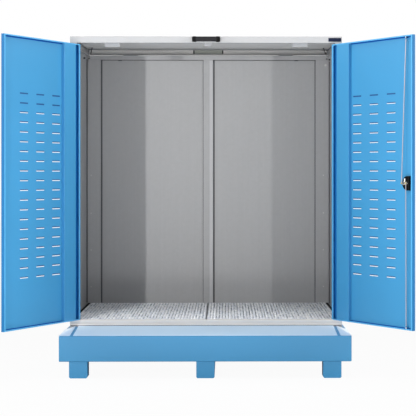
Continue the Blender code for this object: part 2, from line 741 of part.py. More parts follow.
def build_door(name, side, open_degrees, closed_rows, blue, zinc):
    """A louvred door leaf with its stile and three hinges, turned open about its hinge axis."""
    place = (side * AXIS_X, AXIS_Y, 0)
    axis = axis_empty(f"{name}_door_axis", place, turn_z=side * math.radians(open_degrees))
    inward = -side

    skin = box(
        f"{name}_door_skin",
        (inward * DOOR_U, inward * DOOR_END_U),
        (DOOR_N, DOOR_IN_N),
        (DOOR_Z, DOOR_TOP_Z),
        blue,
        axis,
    )
    room = rectangle(
        inward * (DOOR_U + SHEET), inward * (DOOR_END_U - SHEET), PANEL_N, DOOR_IN_N - SHEET
    )
    cut(skin, (room, "Z", DOOR_Z + SHEET, DOOR_TOP_Z - SHEET))
    mouth = rectangle(
        inward * (DOOR_U + HINGE_LIP),
        inward * (DOOR_END_U - FREE_LIP),
        DOOR_IN_N - 2 * SHEET,
        DOOR_IN_N + CUT_OVERRUN,
    )
    cut(skin, (mouth, "Z", DOOR_Z + END_LIP, DOOR_TOP_Z - END_LIP))
    first_u, last_u = LOUVRE_HINGE_MARGIN, DOOR_END_U - LOUVRE_FREE_MARGIN - LOUVRE_LENGTH
    low_z, high_z = DOOR_Z + LOUVRE_BOTTOM_MARGIN, DOOR_TOP_Z - LOUVRE_TOP_MARGIN
    hoods, openings = [], []
    for column in range(LOUVRE_COLUMNS):
        u = first_u + (last_u - first_u) * column / (LOUVRE_COLUMNS - 1)
        for row in range(LOUVRE_ROWS):
            z = low_z + (high_z - low_z) * row / (LOUVRE_ROWS - 1)
            hood, opening = louvre_row(z, u, inward, row >= LOUVRE_ROWS - closed_rows)
            hoods.append(hood)
            openings.append(opening)
    join(skin, *hoods)
    cut(skin, *openings)

    u0, u1 = STILE_START, STILE_START + STILE_WIDTH
    n0, n1 = PANEL_N + SEAT_GAP, DOOR_IN_N - SEAT_GAP
    channel = [
        (u0, n0),
        (u0 + STILE_SHEET, n0),
        (u0 + STILE_SHEET, n1 - STILE_SHEET),
        (u1 - STILE_SHEET, n1 - STILE_SHEET),
        (u1 - STILE_SHEET, n0),
        (u1, n0),
        (u1, n1),
        (u0, n1),
    ]
    low, high = DOOR_Z + END_LIP + SEAT_GAP, DOOR_TOP_Z - END_LIP - SEAT_GAP
    prism(f"{name}_door_stile", mirrored(inward, channel), "Z", low, high, blue, axis)

    fixed = axis_empty(f"{name}_hinge_line", place)
    on_post, on_door = knuckle(side), knuckle(inward)
    heights = (DOOR_Z + DOOR_HINGE_MARGIN, DOOR_MIDDLE_Z, DOOR_TOP_Z - DOOR_HINGE_MARGIN)
    for number, z in enumerate(heights, start=1):
        hinge(f"{name}_hinge_{number}", "Z", z, (on_post, fixed), (on_door, axis), zinc)
    return axis, skin


def build_lock(axis, skin, black, steel):
    """The rod lock of the right door: case, cam and rods inside, turn handle and key outside."""
    spindle_hole = circle(0, 0, SPINDLE_RADIUS + BORE_CLEARANCE)
    lock = axis_empty("lock_axis", (-LOCK_U, 0, LOCK_Z), axis)

    edge = -CASE_EDGE_FROM_LOCK
    centre = edge + CASE_STRAIGHT
    turns = [-math.pi / 2 + math.pi * step / ROUND_STEPS for step in range(ROUND_STEPS + 1)]
    case_outline = [(edge, -CASE_HALF_HEIGHT)]
    case_outline += [
        (centre + CASE_HALF_HEIGHT * math.cos(turn), CASE_HALF_HEIGHT * math.sin(turn)) for turn in turns
    ]
    case_outline += [(edge, CASE_HALF_HEIGHT)]
    case = prism("lock_case", case_outline, "Y", CASE_N, CASE_FACE_N, black, lock)
    cut(case, (spindle_hole, "Y", CASE_N - CUT_OVERRUN, CASE_FACE_N + CUT_OVERRUN))

    ends = []
    for centre_x, start in ((CAM_RADIUS, -math.pi / 2), (-CAM_RADIUS, math.pi / 2)):
        for step in range(HINGE_ARC_STEPS + 1):
            turn = start + math.pi * step / HINGE_ARC_STEPS
            ends.append((centre_x + CAM_END_RADIUS * math.cos(turn), CAM_END_RADIUS * math.sin(turn)))
    cam = prism("lock_cam", ends, "Y", CAM_N, CAM_FACE_N, steel, lock)
    boss = circle(0, 0, CAM_BOSS_RADIUS)
    join(cam, (boss, "Y", CAM_N + CAM_THICKNESS / 2, CAM_FACE_N + CAM_BOSS_HEIGHT))
    cut(cam, (spindle_hole, "Y", CAM_N - CUT_OVERRUN, CAM_FACE_N + CAM_BOSS_HEIGHT + CUT_OVERRUN))

    plate_n = DOOR_N - SEAT_GAP
    plate_face = plate_n - ESCUTCHEON_THICKNESS
    half_w, half_h = ESCUTCHEON_WIDTH / 2, ESCUTCHEON_HEIGHT / 2
    plate = prism(
        "lock_escutcheon", rectangle(-half_w, half_w, -half_h, half_h), "Y", plate_face, plate_n, black, lock
    )
    cut(plate, (spindle_hole, "Y", plate_face - CUT_OVERRUN, plate_n + CUT_OVERRUN))
    hub_face = plate_face - SEAT_GAP
    hub_end = hub_face - GRIP_STANDOFF
    bar = rectangle(-GRIP_WIDTH / 2, GRIP_WIDTH / 2, -GRIP_LENGTH / 2, GRIP_LENGTH / 2)
    handle = prism("lock_handle", bar, "Y", hub_end - GRIP_THICKNESS, hub_end, black, lock)
    join(handle, (circle(0, 0, GRIP_HUB_RADIUS), "Y", hub_end - GRIP_THICKNESS / 2, hub_face))
    spindle = circle(0, 0, SPINDLE_RADIUS)
    join(handle, (spindle, "Y", hub_end, CAM_FACE_N + CAM_BOSS_HEIGHT))
    key_outline = circle(0, -KEY_DROP, KEY_RADIUS)
    key = prism("key_cylinder", key_outline, "Y", hub_face - KEY_PROUD, hub_face, steel, lock)
    for round_piece in (case, cam, handle, key):
        smooth(round_piece)

    door_hole = circle(-LOCK_U, LOCK_Z, SPINDLE_RADIUS + BORE_CLEARANCE)
    cut(skin, (door_hole, "Y", DOOR_N - CUT_OVERRUN, PANEL_N + CUT_OVERRUN))
    rod_way = circle(-ROD_GUIDE_U, ROD_N, ROD_RADIUS + ROD_HOLE_CLEARANCE)
    cut(skin, (rod_way, "Z", DOOR_TOP_Z - 2 * SHEET, DOOR_TOP_Z + CUT_OVERRUN))
    cut(skin, (rod_way, "Z", DOOR_Z - CUT_OVERRUN, DOOR_Z + 2 * SHEET))


def build_rods(axis, steel, blue):
    """The two rods, each from over its cam arm to the door's end, and the guide near the far end of each."""
    over_n = CAM_FACE_N + ROD_OVER_CAM + ROD_RADIUS
    for name, up, tip_z in (("upper", 1, DOOR_TOP_Z - ROD_TIP_GAP), ("lower", -1, DOOR_Z + ROD_TIP_GAP)):
        route = [
            (LOCK_U - up * CAM_RADIUS, over_n, LOCK_Z - up * ROD_RADIUS),
            (ROD_GUIDE_U, ROD_N, tip_z),
        ]
        curve = bpy.data.curves.new(f"{name}_rod", "CURVE")
        curve.dimensions = "3D"
        curve.bevel_depth = ROD_RADIUS
        curve.bevel_resolution = 3
        curve.use_fill_caps = True
        spline = curve.splines.new("POLY")
        spline.points.add(len(route) - 1)
        for point, (u, n, z) in zip(spline.points, route):
            point.co = (-u, n, z, 1)
        add_object(f"{name}_rod", curve, steel, axis)
        end_z = DOOR_TOP_Z if up > 0 else DOOR_Z
        z = end_z - up * GUIDE_FROM_END
        guide = box(
            f"{name}_rod_guide",
            (-ROD_GUIDE_U - GUIDE_WIDTH / 2, -ROD_GUIDE_U + GUIDE_WIDTH / 2),
            (CASE_N, CASE_FACE_N),
            (z - GUIDE_HEIGHT / 2, z + GUIDE_HEIGHT / 2),
            blue,
            axis,
        )
        way = circle(-ROD_GUIDE_U, ROD_N, ROD_RADIUS + ROD_HOLE_CLEARANCE)
        cut(guide, (way, "Z", z - GUIDE_HEIGHT, z + GUIDE_HEIGHT))


def main():
    """Build the drum store in an empty scene."""
    for existing in list(bpy.data.objects):
        bpy.data.objects.remove(existing)
    blue = material("blue_powder_coat", (0.08, 0.32, 0.62), 0.42, 0.0)
    pale = material("light_grey_powder_coat", (0.75, 0.76, 0.77), 0.45, 0.0)
    zinc = material("galvanised_steel", (0.42, 0.43, 0.44), 0.42, 0.8)
    dark = material("black_plastic", (0.03, 0.03, 0.035), 0.5, 0.0)
    steel = material("bright_steel", (0.65, 0.64, 0.62), 0.3, 0.9)
    build_sump(blue)
    build_front_covers(blue)
    build_base(zinc, pale)
    build_gratings(zinc)
    build_walls(zinc, pale)
    build_top_frame(zinc)
    build_stops(pale)
    build_lid(pale, dark, zinc)
    build_door("left", -1, LEFT_DOOR_OPEN_DEGREES, LEFT_CLOSED_ROWS, blue, zinc)
    axis, skin = build_door("right", 1, RIGHT_DOOR_OPEN_DEGREES, RIGHT_CLOSED_ROWS, blue, zinc)
    build_lock(axis, skin, dark, steel)
    build_rods(axis, steel, blue)


main()
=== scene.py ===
"""Looks of the hazardous drum store, dressed over its CAD frame.

The sections follow the store as it is put together, from the studio and the spill sump up to the lid,
then the doors and the lock. All sizes are in metres and all places are in the frame's own axes.
"""

import json
import math

import bmesh
import bpy
from mathutils import Matrix, Vector


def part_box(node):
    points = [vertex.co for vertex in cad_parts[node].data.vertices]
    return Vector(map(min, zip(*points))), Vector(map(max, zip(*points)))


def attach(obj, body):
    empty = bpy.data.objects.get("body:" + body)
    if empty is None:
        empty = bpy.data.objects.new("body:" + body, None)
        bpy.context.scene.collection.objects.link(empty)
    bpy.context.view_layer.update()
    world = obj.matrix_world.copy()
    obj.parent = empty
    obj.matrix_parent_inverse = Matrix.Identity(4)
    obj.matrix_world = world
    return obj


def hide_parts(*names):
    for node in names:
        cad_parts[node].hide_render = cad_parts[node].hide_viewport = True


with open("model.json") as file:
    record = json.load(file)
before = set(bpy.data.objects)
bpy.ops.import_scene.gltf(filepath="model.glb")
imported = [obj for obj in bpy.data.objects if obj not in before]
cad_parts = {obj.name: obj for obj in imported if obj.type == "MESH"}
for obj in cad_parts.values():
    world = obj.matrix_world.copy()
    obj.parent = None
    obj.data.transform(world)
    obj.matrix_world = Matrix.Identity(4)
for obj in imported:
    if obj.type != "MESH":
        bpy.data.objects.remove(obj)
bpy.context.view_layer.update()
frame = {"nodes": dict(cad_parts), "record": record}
scene = bpy.context.scene
record = frame["record"]


# The view: a long lens at chest height, almost square on to the open doors.
# The photograph's vertical edges stay upright, so the camera looks level and its frame is shifted down.
CAMERA_PLACE = (0.1131, -9.2653, 1.2281)
CAMERA_TURN = -0.014
CAMERA_LENS = 128.246
SENSOR_WIDTH = 36
CAMERA_SHIFT = (-0.0889, -0.0818)

camera_data = bpy.data.cameras.new("camera")
camera_data.sensor_width = SENSOR_WIDTH
camera_data.lens = CAMERA_LENS
camera_data.shift_x, camera_data.shift_y = CAMERA_SHIFT
camera = bpy.data.objects.new("camera", camera_data)
camera.location = CAMERA_PLACE
camera.rotation_euler = (math.pi / 2, 0, CAMERA_TURN)
scene.collection.objects.link(camera)
scene.camera = camera
scene.view_settings.view_transform = "Standard"


# The studio: a white floor, faint light from all round, four soft boxes (overhead, at each side and on
# the floor in front) and two small lamps beside the camera. Each lamp stands where the shadow that it
# throws of a front post falls on the back wall as in the photograph.
LAMP_DISTANCE = 6.0
LAMP_HEIGHT = 1.95
LAMP_RADIUS = 0.07
LAMPS = (("left_lamp", -2.43, 515), ("right_lamp", 2.39, 200))
SOFT_BOXES = (
    ("overhead_soft_box", (0, -0.7, 4.4), (5.0, 1.0), (0, -0.699, 1.0), 95),
    ("left_soft_box", (-6.3, -2.0, 3.8), (2.2, 4.2), (0, -0.3, 1.2), 285),
    ("right_soft_box", (6.3, -2.0, 3.8), (2.2, 4.2), (0, -0.3, 1.2), 305),
    ("floor_soft_box", (0, -2.2, 0.02), (3.6, 1.3), (0, -2.199, 2.2), 68),
)
AMBIENT = 0.10
FLOOR_SIZE = 60
FLOOR_SHADOW_SHARE = 0.05
FLOOR_GREY = "#C9C9C9"
WHITE = "#FFFFFF"


def linear(hex_colour):
    """An sRGB hex colour as a linear colour with alpha."""
    parts = [int(hex_colour[start:start + 2], 16) / 255 for start in (1, 3, 5)]
    return [part / 12.92 if part <= 0.04045 else ((part + 0.055) / 1.055) ** 2.4 for part in parts] + [1]


def add_node(tree, kind, inputs=None, **settings):
    """Add a node with its settings; an input takes a value or the output of another node."""
    made = tree.nodes.new(kind)
    for name, value in settings.items():
        setattr(made, name, value)
    for name, value in (inputs or {}).items():
        if isinstance(value, bpy.types.NodeSocket):
            tree.links.new(value, made.inputs[name])
        else:
            made.inputs[name].default_value = value
    return made


def math_node(tree, operation, *values):
    """The result of an operation on numbers or outputs of other nodes."""
    return add_node(tree, "ShaderNodeMath", dict(enumerate(values)), operation=operation).outputs[0]


world = bpy.data.worlds.new("studio")
world.use_nodes = True
scene.world = world
sky = world.node_tree
sky.nodes.clear()
rays = add_node(sky, "ShaderNodeLightPath").outputs
seen = math_node(sky, "MAXIMUM", rays["Is Camera Ray"], rays["Is Glossy Ray"])
seen = math_node(sky, "MAXIMUM", seen, rays["Is Transmission Ray"])
dim = add_node(sky, "ShaderNodeBackground", {"Color": linear(WHITE), "Strength": AMBIENT})
bright = add_node(sky, "ShaderNodeBackground", {"Color": linear(WHITE), "Strength": 1.0})
mixed = add_node(sky, "ShaderNodeMixShader", {0: seen, 1: dim.outputs[0], 2: bright.outputs[0]})
add_node(sky, "ShaderNodeOutputWorld", {"Surface": mixed.outputs[0]})

for name, x, power in LAMPS:
    lamp_data = bpy.data.lights.new(name, "POINT")
    lamp_data.energy = power
    lamp_data.shadow_soft_size = LAMP_RADIUS
    lamp = bpy.data.objects.new(name, lamp_data)
    lamp.location = (x, -LAMP_DISTANCE, LAMP_HEIGHT)
    scene.collection.objects.link(lamp)

for name, place, size, target, power in SOFT_BOXES:
    soft_data = bpy.data.lights.new(name, "AREA")
    soft_data.shape = "RECTANGLE"
    soft_data.size, soft_data.size_y = size
    soft_data.energy = power
    soft_box = bpy.data.objects.new(name, soft_data)
    soft_box.location = place
    aim = Vector(target) - Vector(place)
    soft_box.rotation_euler = aim.to_track_quat("-Z", "Y").to_euler()
    soft_box.visible_camera = False
    scene.collection.objects.link(soft_box)

bpy.ops.object.select_all(action="DESELECT")
bpy.ops.mesh.primitive_plane_add(size=FLOOR_SIZE, location=(0, 0, 0))
floor = bpy.context.object
floor.name = "studio_floor"
floor_paint = bpy.data.materials.new("white_studio_floor")
floor_paint.use_nodes = True
tree = floor_paint.node_tree
tree.nodes.clear()
rays = add_node(tree, "ShaderNodeLightPath").outputs
paint = add_node(tree, "ShaderNodeBsdfDiffuse", {"Color": linear(FLOOR_GREY)}).outputs[0]
glow = add_node(tree, "ShaderNodeEmission", {"Color": linear(WHITE), "Strength": 1.0}).outputs[0]
both = add_node(tree, "ShaderNodeMixShader", {0: FLOOR_SHADOW_SHARE, 1: glow, 2: paint}).outputs[0]
shown = add_node(tree, "ShaderNodeMixShader", {0: rays["Is Camera Ray"], 1: paint, 2: both})
add_node(tree, "ShaderNodeOutputMaterial", {"Surface": shown.outputs[0]})
floor.data.materials.append(floor_paint)


# Spill sump: a tank of 3 mm steel sheet, folded and welded, with a folded-in rim, that catches what the
# drums lose. Epoxy powder is baked on it: a light blue, semi-gloss coat with a fine orange peel.
BLUE = "#3A8BBA"
BLUE_ROUGHNESS = 0.42
PEEL_SIZE = 0.004
PEEL_DEPTH = 0.00012
PEEL_STRENGTH = 0.4
CLOUD_SIZE = 0.35
CLOUD_SHARE = 0.04
SHEEN_ROUGHNESS = 0.3
SUMP_BEND = 0.005
RIM_BEND = 0.003
MERGE_DISTANCE = 0.00002
FLAT_ANGLE = math.radians(0.4)
SHARP_ANGLE = math.radians(30)
BODY_OF = {node: body for body, nodes in record["behaviour"]["bodies"].items() for node in nodes}


def new_finish(name, values):
    """A new material with these values on its shader: itself, its tree, its shader and its places."""
    made = bpy.data.materials.new(name)
    made.use_nodes = True
    tree = made.node_tree
    shader = tree.nodes["Principled BSDF"]
    for key, value in values.items():
        shader.inputs[key].default_value = value
    return made, tree, shader, add_node(tree, "ShaderNodeTexCoord").outputs["Object"]


def shaded(hex_colour, share):
    """A hex colour times a share, as a linear colour that is no lighter than white."""
    return [min(part * share, 1) for part in linear(hex_colour)[:3]] + [1]


def mix_colours(tree, share, first, second, **settings):
    """The colour that lies between two by the share of the second."""
    inputs = {0: share, 6: first, 7: second}
    return add_node(tree, "ShaderNodeMix", inputs, data_type="RGBA", **settings).outputs[2]


def powder_coat(name, colour, roughness, sheen=0.0, specular=0.5):
    """Baked powder in one colour, faintly clouded, with the fine orange peel that it sets with."""
    values = {
        "Roughness": roughness,
        "Sheen Weight": sheen,
        "Sheen Roughness": SHEEN_ROUGHNESS,
        "Specular IOR Level": specular,
    }
    made, tree, shader, place = new_finish(name, values)
    cloud = add_node(tree, "ShaderNodeTexNoise", {"Vector": place, "Scale": 1 / CLOUD_SIZE, "Detail": 3.0})
    dark, light = shaded(colour, 1 - CLOUD_SHARE), shaded(colour, 1 + CLOUD_SHARE)
    tree.links.new(mix_colours(tree, cloud.outputs["Fac"], dark, light), shader.inputs["Base Color"])
    peel = add_node(tree, "ShaderNodeTexNoise", {"Vector": place, "Scale": 1 / PEEL_SIZE, "Detail": 1.0})
    inputs = {"Height": peel.outputs["Fac"], "Distance": PEEL_DEPTH, "Strength": PEEL_STRENGTH}
    tree.links.new(add_node(tree, "ShaderNodeBump", inputs).outputs[0], shader.inputs["Normal"])
    return made


def copy_node(node):
    """A merged copy of a CAD node, whose edges can be worked on."""
    bpy.ops.object.select_all(action="DESELECT")
    piece = bpy.data.objects.new(f"{node}_made", frame["nodes"][node].data.copy())
    scene.collection.objects.link(piece)
    bpy.context.view_layer.objects.active = piece
    piece.select_set(True)
    bpy.ops.object.mode_set(mode="EDIT")
    bpy.ops.mesh.select_all(action="SELECT")
    bpy.ops.mesh.remove_doubles(threshold=MERGE_DISTANCE)
    bpy.ops.mesh.dissolve_limited(angle_limit=FLAT_ANGLE)
    bpy.ops.object.mode_set(mode="OBJECT")
    return piece


def select_edges(piece, wanted):
    """Go into edit mode with the edges of a piece selected that are wanted."""
    bpy.context.view_layer.objects.active = piece
    bpy.ops.object.mode_set(mode="EDIT")
    bpy.ops.mesh.select_mode(type="EDGE")
    bpy.ops.mesh.select_all(action="DESELECT")
    mesh = bmesh.from_edit_mesh(piece.data)
    for edge in mesh.edges:
        edge.select_set(wanted(edge))
    bmesh.update_edit_mesh(piece.data)


def round_edges(piece, test, radius, segments=3, axes=Matrix(), shortest=0):
    """Round the sharp edges of a piece whose two ends pass the test on their places in some axes."""
    def wanted(edge):
        sharp = edge.is_manifold and edge.calc_face_angle(0) > SHARP_ANGLE and edge.calc_length() > shortest
        return sharp and all(test(*(axes @ vertex.co)) for vertex in edge.verts)

    select_edges(piece, wanted)
    bpy.ops.mesh.bevel(offset=radius, segments=segments, affect="EDGES")
    bpy.ops.object.mode_set(mode="OBJECT")


def finish_piece(piece, body, finish):
    """Keep a piece's place in its mesh, give it its finish and body, and shade its broad faces flat."""
    bpy.ops.object.select_all(action="DESELECT")
    bpy.context.view_layer.objects.active = piece
    piece.select_set(True)
    bpy.ops.object.transform_apply(location=True, rotation=True, scale=True)
    bpy.ops.object.shade_smooth_by_angle(angle=SHARP_ANGLE)
    weighting = piece.modifiers.new("shading", "WEIGHTED_NORMAL")
    weighting.weight = 100
    weighting.keep_sharp = True
    bpy.ops.object.modifier_apply(modifier=weighting.name)
    piece.data.materials.clear()
    piece.data.materials.append(finish)
    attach(piece, body)


def remake(node, finish, *bends, axes=Matrix()):
    """Put a copy of a CAD node with rounded bends in its place; each bend is a test and a radius."""
    piece = copy_node(node)
    for test, radius in bends:
        round_edges(piece, test, radius, axes=axes)
    finish_piece(piece, BODY_OF[node], finish)
    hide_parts(node)
    return piece


def near(value, target):
    """Whether two lengths are the same to a tenth of a millimetre."""
    return abs(value - target) < 0.0001


blue_coat = powder_coat("blue_powder_coat_on_steel", BLUE, BLUE_ROUGHNESS)

low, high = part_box("sump_tank")
remake(
    "sump_tank",
    blue_coat,
    (
        lambda x, y, z: near(abs(x), high[0]) and (near(y, low[1]) or near(y, high[1])),
        SUMP_BEND,
    ),
    (
        lambda x, y, z: near(z, high[2]) and (near(abs(x), high[0]) or near(y, low[1]) or near(y, high[1])),
        RIM_BEND,
    ),
)


# Fork-lift skids: a folded channel under the sump's middle and a flat bar with a box foot at each end
# under each side, welded to the tank with short runs of fillet weld, in the same blue coat. A lift
# truck's forks go in between them.
WELD_RUN = 0.060
WELD_PITCH = 0.190
WELD_LEG = 0.005
WELD_SIDES = 10
WELD_RIPPLE = 0.0035
WELD_VALLEY = 0.82
WELD_END = 0.35
ALONG_Y = (math.pi / 2, 0, 0)
SKIDS = ("skid_left", "skid_centre", "skid_right")


def dress_node(node, finish):
    """Give a CAD node that keeps its shape its finish."""
    frame["nodes"][node].data.materials.clear()
    frame["nodes"][node].data.materials.append(finish)


def new_piece(name, add, **settings):
    """Add a primitive with nothing else selected, with its place kept in its mesh."""
    bpy.ops.object.select_all(action="DESELECT")
    add(**settings)
    piece = bpy.context.object
    piece.name = piece.data.name = name
    bpy.ops.object.transform_apply(location=True, rotation=True, scale=True)
    return piece


def round_bar(name, middle, radius, length, sides, turn=(0, 0, 0)):
    """A cylinder about its middle, upright before its turn."""
    size = {"vertices": sides, "radius": radius, "depth": length}
    return new_piece(name, bpy.ops.mesh.primitive_cylinder_add, location=middle, rotation=turn, **size)


def copy_piece(piece, name, move):
    """A copy of a piece with its own mesh, moved by a vector."""
    copy = bpy.data.objects.new(name, piece.data.copy())
    scene.collection.objects.link(copy)
    copy.data.transform(Matrix.Translation(move))
    return copy


def join_pieces(pieces, name):
    """Join pieces into the first one."""
    bpy.ops.object.select_all(action="DESELECT")
    for piece in pieces:
        piece.select_set(True)
    bpy.context.view_layer.objects.active = pieces[0]
    bpy.ops.object.join()
    pieces[0].name = pieces[0].data.name = name
    return pieces[0]


def weld_run(name, start, length):
    """One run of weld along Y: a round bead with a ripple at each stop of the wire."""
    bead = round_bar(name, (start[0], start[1] + length / 2, start[2]), WELD_LEG, length, WELD_SIDES, ALONG_Y)
    steps = round(length / WELD_RIPPLE)
    select_edges(bead, lambda edge: abs(edge.verts[0].co.y - edge.verts[1].co.y) > length / 2)
    bpy.ops.mesh.subdivide(number_cuts=steps - 1)
    bpy.ops.object.mode_set(mode="OBJECT")
    for vertex in bead.data.vertices:
        step = round((vertex.co.y - start[1]) / WELD_RIPPLE)
        share = WELD_VALLEY if step % 2 else 1.0
        if step in (0, steps):
            share = WELD_END
        vertex.co.x = start[0] + (vertex.co.x - start[0]) * share
        vertex.co.z = start[2] + (vertex.co.z - start[2]) * share
    return bead


for node in SKIDS:
    dress_node(node, blue_coat)
first_run = weld_run("weld", (0, 0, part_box("sump_tank")[0][2] - WELD_LEG / 4), WELD_RUN)
for node in SKIDS:
    low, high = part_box(node)
    count = int((high[1] - low[1] - WELD_RUN) / WELD_PITCH)
    runs = []
    for number in range(count + 1):
        y = low[1] + WELD_RUN / 2 + number * WELD_PITCH
        for x in (low[0], high[0]):
            runs.append(copy_piece(first_run, "run", (x, y, 0)))
    finish_piece(join_pieces(runs, f"{node}_welds"), "base", blue_coat)
bpy.data.objects.remove(first_run)


# Cover over the front of the sump: a 2 mm sheet that rises to the threshold, with a narrow end piece at
# each side, and a blue strip under each of the two joints. Its pale blue and its sheen are a painted
# reflection of the bright surroundings at a low angle; the end pieces are a little darker, as painted shade.
COVER_PAINTED_REFLECTION_BLUE = "#BEE2FF"
COVER_END_PAINTED_REFLECTION_AND_SHADE_BLUE = "#B2D4F0"
COVER_PAINTED_SHEEN = 1.0
COVER_BEND = 0.0008
JOINT_LAP = 0.003
JOINT_STRIP = 0.0015
JOINT_STRIP_EDGE = 0.0003
JOINT_END_GAP = 0.002
JOINT_DROP = 0.008


def remake_front(node, finish, radius):
    """Put a copy of a CAD node with rounded front edges in its place."""
    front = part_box(node)[0][1]
    return remake(node, finish, (lambda x, y, z: near(y, front), radius))


def anywhere(x, y, z):
    """A test that every place passes."""
    return True


def block(name, middle, size, radius=0, segments=1, test=anywhere):
    """A cuboid about its middle, with the edges rounded whose ends pass the test."""
    piece = new_piece(name, bpy.ops.mesh.primitive_cube_add, size=1, location=middle, scale=size)
    if radius:
        round_edges(piece, test, radius, segments)
    return piece


# Pale blue with sheen: painted reflection; the ends' darker blue: painted shade.
cover_painted_reflection = powder_coat("pale_blue_coat_with_painted_reflection", COVER_PAINTED_REFLECTION_BLUE, BLUE_ROUGHNESS, COVER_PAINTED_SHEEN)
cover_end_painted_reflection_and_shade = powder_coat("pale_blue_coat_with_painted_reflection_and_shade_on_ends", COVER_END_PAINTED_REFLECTION_AND_SHADE_BLUE, BLUE_ROUGHNESS, COVER_PAINTED_SHEEN)
remake_front("front_cover", cover_painted_reflection, COVER_BEND)
remake_front("front_cover_left_end", cover_end_painted_reflection_and_shade, COVER_BEND)
remake_front("front_cover_right_end", cover_end_painted_reflection_and_shade, COVER_BEND)
low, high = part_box("front_cover")
end_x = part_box("front_cover_right_end")[0][0]
middle_y = (low[1] + high[1]) / 2
strips = []
for side in (-1, 1):
    strip = block(
        "strip",
        (side * (high[0] + end_x) / 2, middle_y, low[2] + JOINT_STRIP / 2),
        (end_x - high[0] + 2 * JOINT_LAP, high[1] - low[1] - JOINT_END_GAP, JOINT_STRIP),
    )
    for vertex in strip.data.vertices:
        if vertex.co.y > middle_y:
            vertex.co.z += high[2] - JOINT_DROP - low[2]
    round_edges(strip, anywhere, JOINT_STRIP_EDGE, 1)
    strips.append(strip)
finish_piece(join_pieces(strips, "front_cover_joint_strips"), "base", blue_coat)


# Base frame and threshold: welded steel flats on the sump's rim carry the walls and the gratings. They
# are hot-dip galvanised: dull grey zinc with a faint spangle. The threshold rail is coated white, with a
# groove along its front and a thin black strip along its foot that is painted shadow under the rail.
ZINC = "#AEAEAF"
ZINC_ROUGHNESS = 0.46
FRAME_LOOK = {"roughness": ZINC_ROUGHNESS, "metallic": 0.6, "spangle": 0.12}
SPANGLE_SIZE = 0.022
STREAK_WIDTH = 0.012
STREAK_LENGTH = 1.2
MATT = 0.6
SATIN = 0.5
RAIL_WHITE = "#E6DDD5"
RAIL_BEND = 0.0018
RAIL_GROOVE = (0.0125, 0.0150)
RAIL_GROOVE_DEPTH = 0.0015
FOOT_SHADOW_HEIGHT = 0.0026
FOOT_SHADOW_PROUD = 0.0008
FOOT_SHADOW_END_GAP = 0.004
BLACK_OF_RUBBER_AND_PAINTED_SHADOW = "#161618"


def zinc_sheet(name, colour, roughness, metallic, spangle, streak=0.0, size=SPANGLE_SIZE):
    """Zinc on steel: a spangle of flat crystals, and faint upright streaks from the rolling mill."""
    made, tree, shader, place = new_finish(name, {"Roughness": roughness, "Metallic": metallic})
    crystal = add_node(tree, "ShaderNodeTexVoronoi", {"Vector": place, "Scale": 1 / size})
    grey = add_node(tree, "ShaderNodeRGBToBW", {"Color": crystal.outputs["Color"]}).outputs[0]
    stretch = (1 / STREAK_WIDTH, 1 / STREAK_WIDTH, 1 / STREAK_LENGTH)
    drawn = add_node(tree, "ShaderNodeMapping", {"Vector": place, "Scale": stretch}).outputs[0]
    lines = add_node(tree, "ShaderNodeTexNoise", {"Vector": drawn, "Scale": 1.0, "Detail": 3.0})
    crystals = math_node(tree, "MULTIPLY", grey, spangle)
    both = math_node(tree, "MULTIPLY_ADD", lines.outputs["Fac"], streak, crystals)
    share = (spangle + streak) / 2
    dark, light = shaded(colour, 1 - share), shaded(colour, 2 - share)
    tree.links.new(mix_colours(tree, both, dark, light, clamp_factor=False), shader.inputs["Base Color"])
    return made


def press_groove(piece, front_y, bottom_z, top_z, depth):
    """Press a groove across the front face of a piece between two heights."""
    bpy.context.view_layer.objects.active = piece
    bpy.ops.object.mode_set(mode="EDIT")
    for height in (bottom_z, top_z):
        bpy.ops.mesh.select_all(action="SELECT")
        bpy.ops.mesh.bisect(plane_co=(0, 0, height), plane_no=(0, 0, 1))
    bpy.ops.mesh.select_mode(type="FACE")
    bpy.ops.mesh.select_all(action="DESELECT")
    mesh = bmesh.from_edit_mesh(piece.data)
    for face in mesh.faces:
        middle = face.calc_center_median()
        face.select_set(near(middle.y, front_y) and bottom_z < middle.z < top_z and face.normal.y < -0.9)
    bmesh.update_edit_mesh(piece.data)
    bpy.ops.mesh.extrude_region_move(TRANSFORM_OT_translate={"value": (0, depth, 0)})
    bpy.ops.object.mode_set(mode="OBJECT")


def front_block(name, middle, size, radius):
    """A cuboid with its front edges rounded."""
    return block(name, middle, size, radius, 2, lambda x, y, z: y < middle[1])


frame_zinc = zinc_sheet("hot_dip_galvanised_frame_steel", ZINC, **FRAME_LOOK)
dress_node("base_frame", frame_zinc)
rail_coat = powder_coat("white_powder_coat_on_threshold", RAIL_WHITE, SATIN)
low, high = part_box("threshold_rail")
rail = remake_front("threshold_rail", rail_coat, RAIL_BEND)
press_groove(rail, low[1], low[2] + RAIL_GROOVE[0], low[2] + RAIL_GROOVE[1], RAIL_GROOVE_DEPTH)
# A black strip along the rail's foot: painted shadow under the rail.
foot_painted_shadow = front_block(
    "threshold_foot_painted_shadow",
    (0, low[1] - FOOT_SHADOW_PROUD / 2, low[2] + FOOT_SHADOW_HEIGHT / 2),
    (high[0] - low[0] - FOOT_SHADOW_END_GAP, FOOT_SHADOW_PROUD, FOOT_SHADOW_HEIGHT),
    FOOT_SHADOW_PROUD / 2,
)
# One black for the rubber plugs and plate ends, and for the strips of painted shadow.
black_rubber = powder_coat("moulded_black_rubber_and_painted_shadow", BLACK_OF_RUBBER_AND_PAINTED_SHADOW, MATT)
finish_piece(foot_painted_shadow, "base", black_rubber)


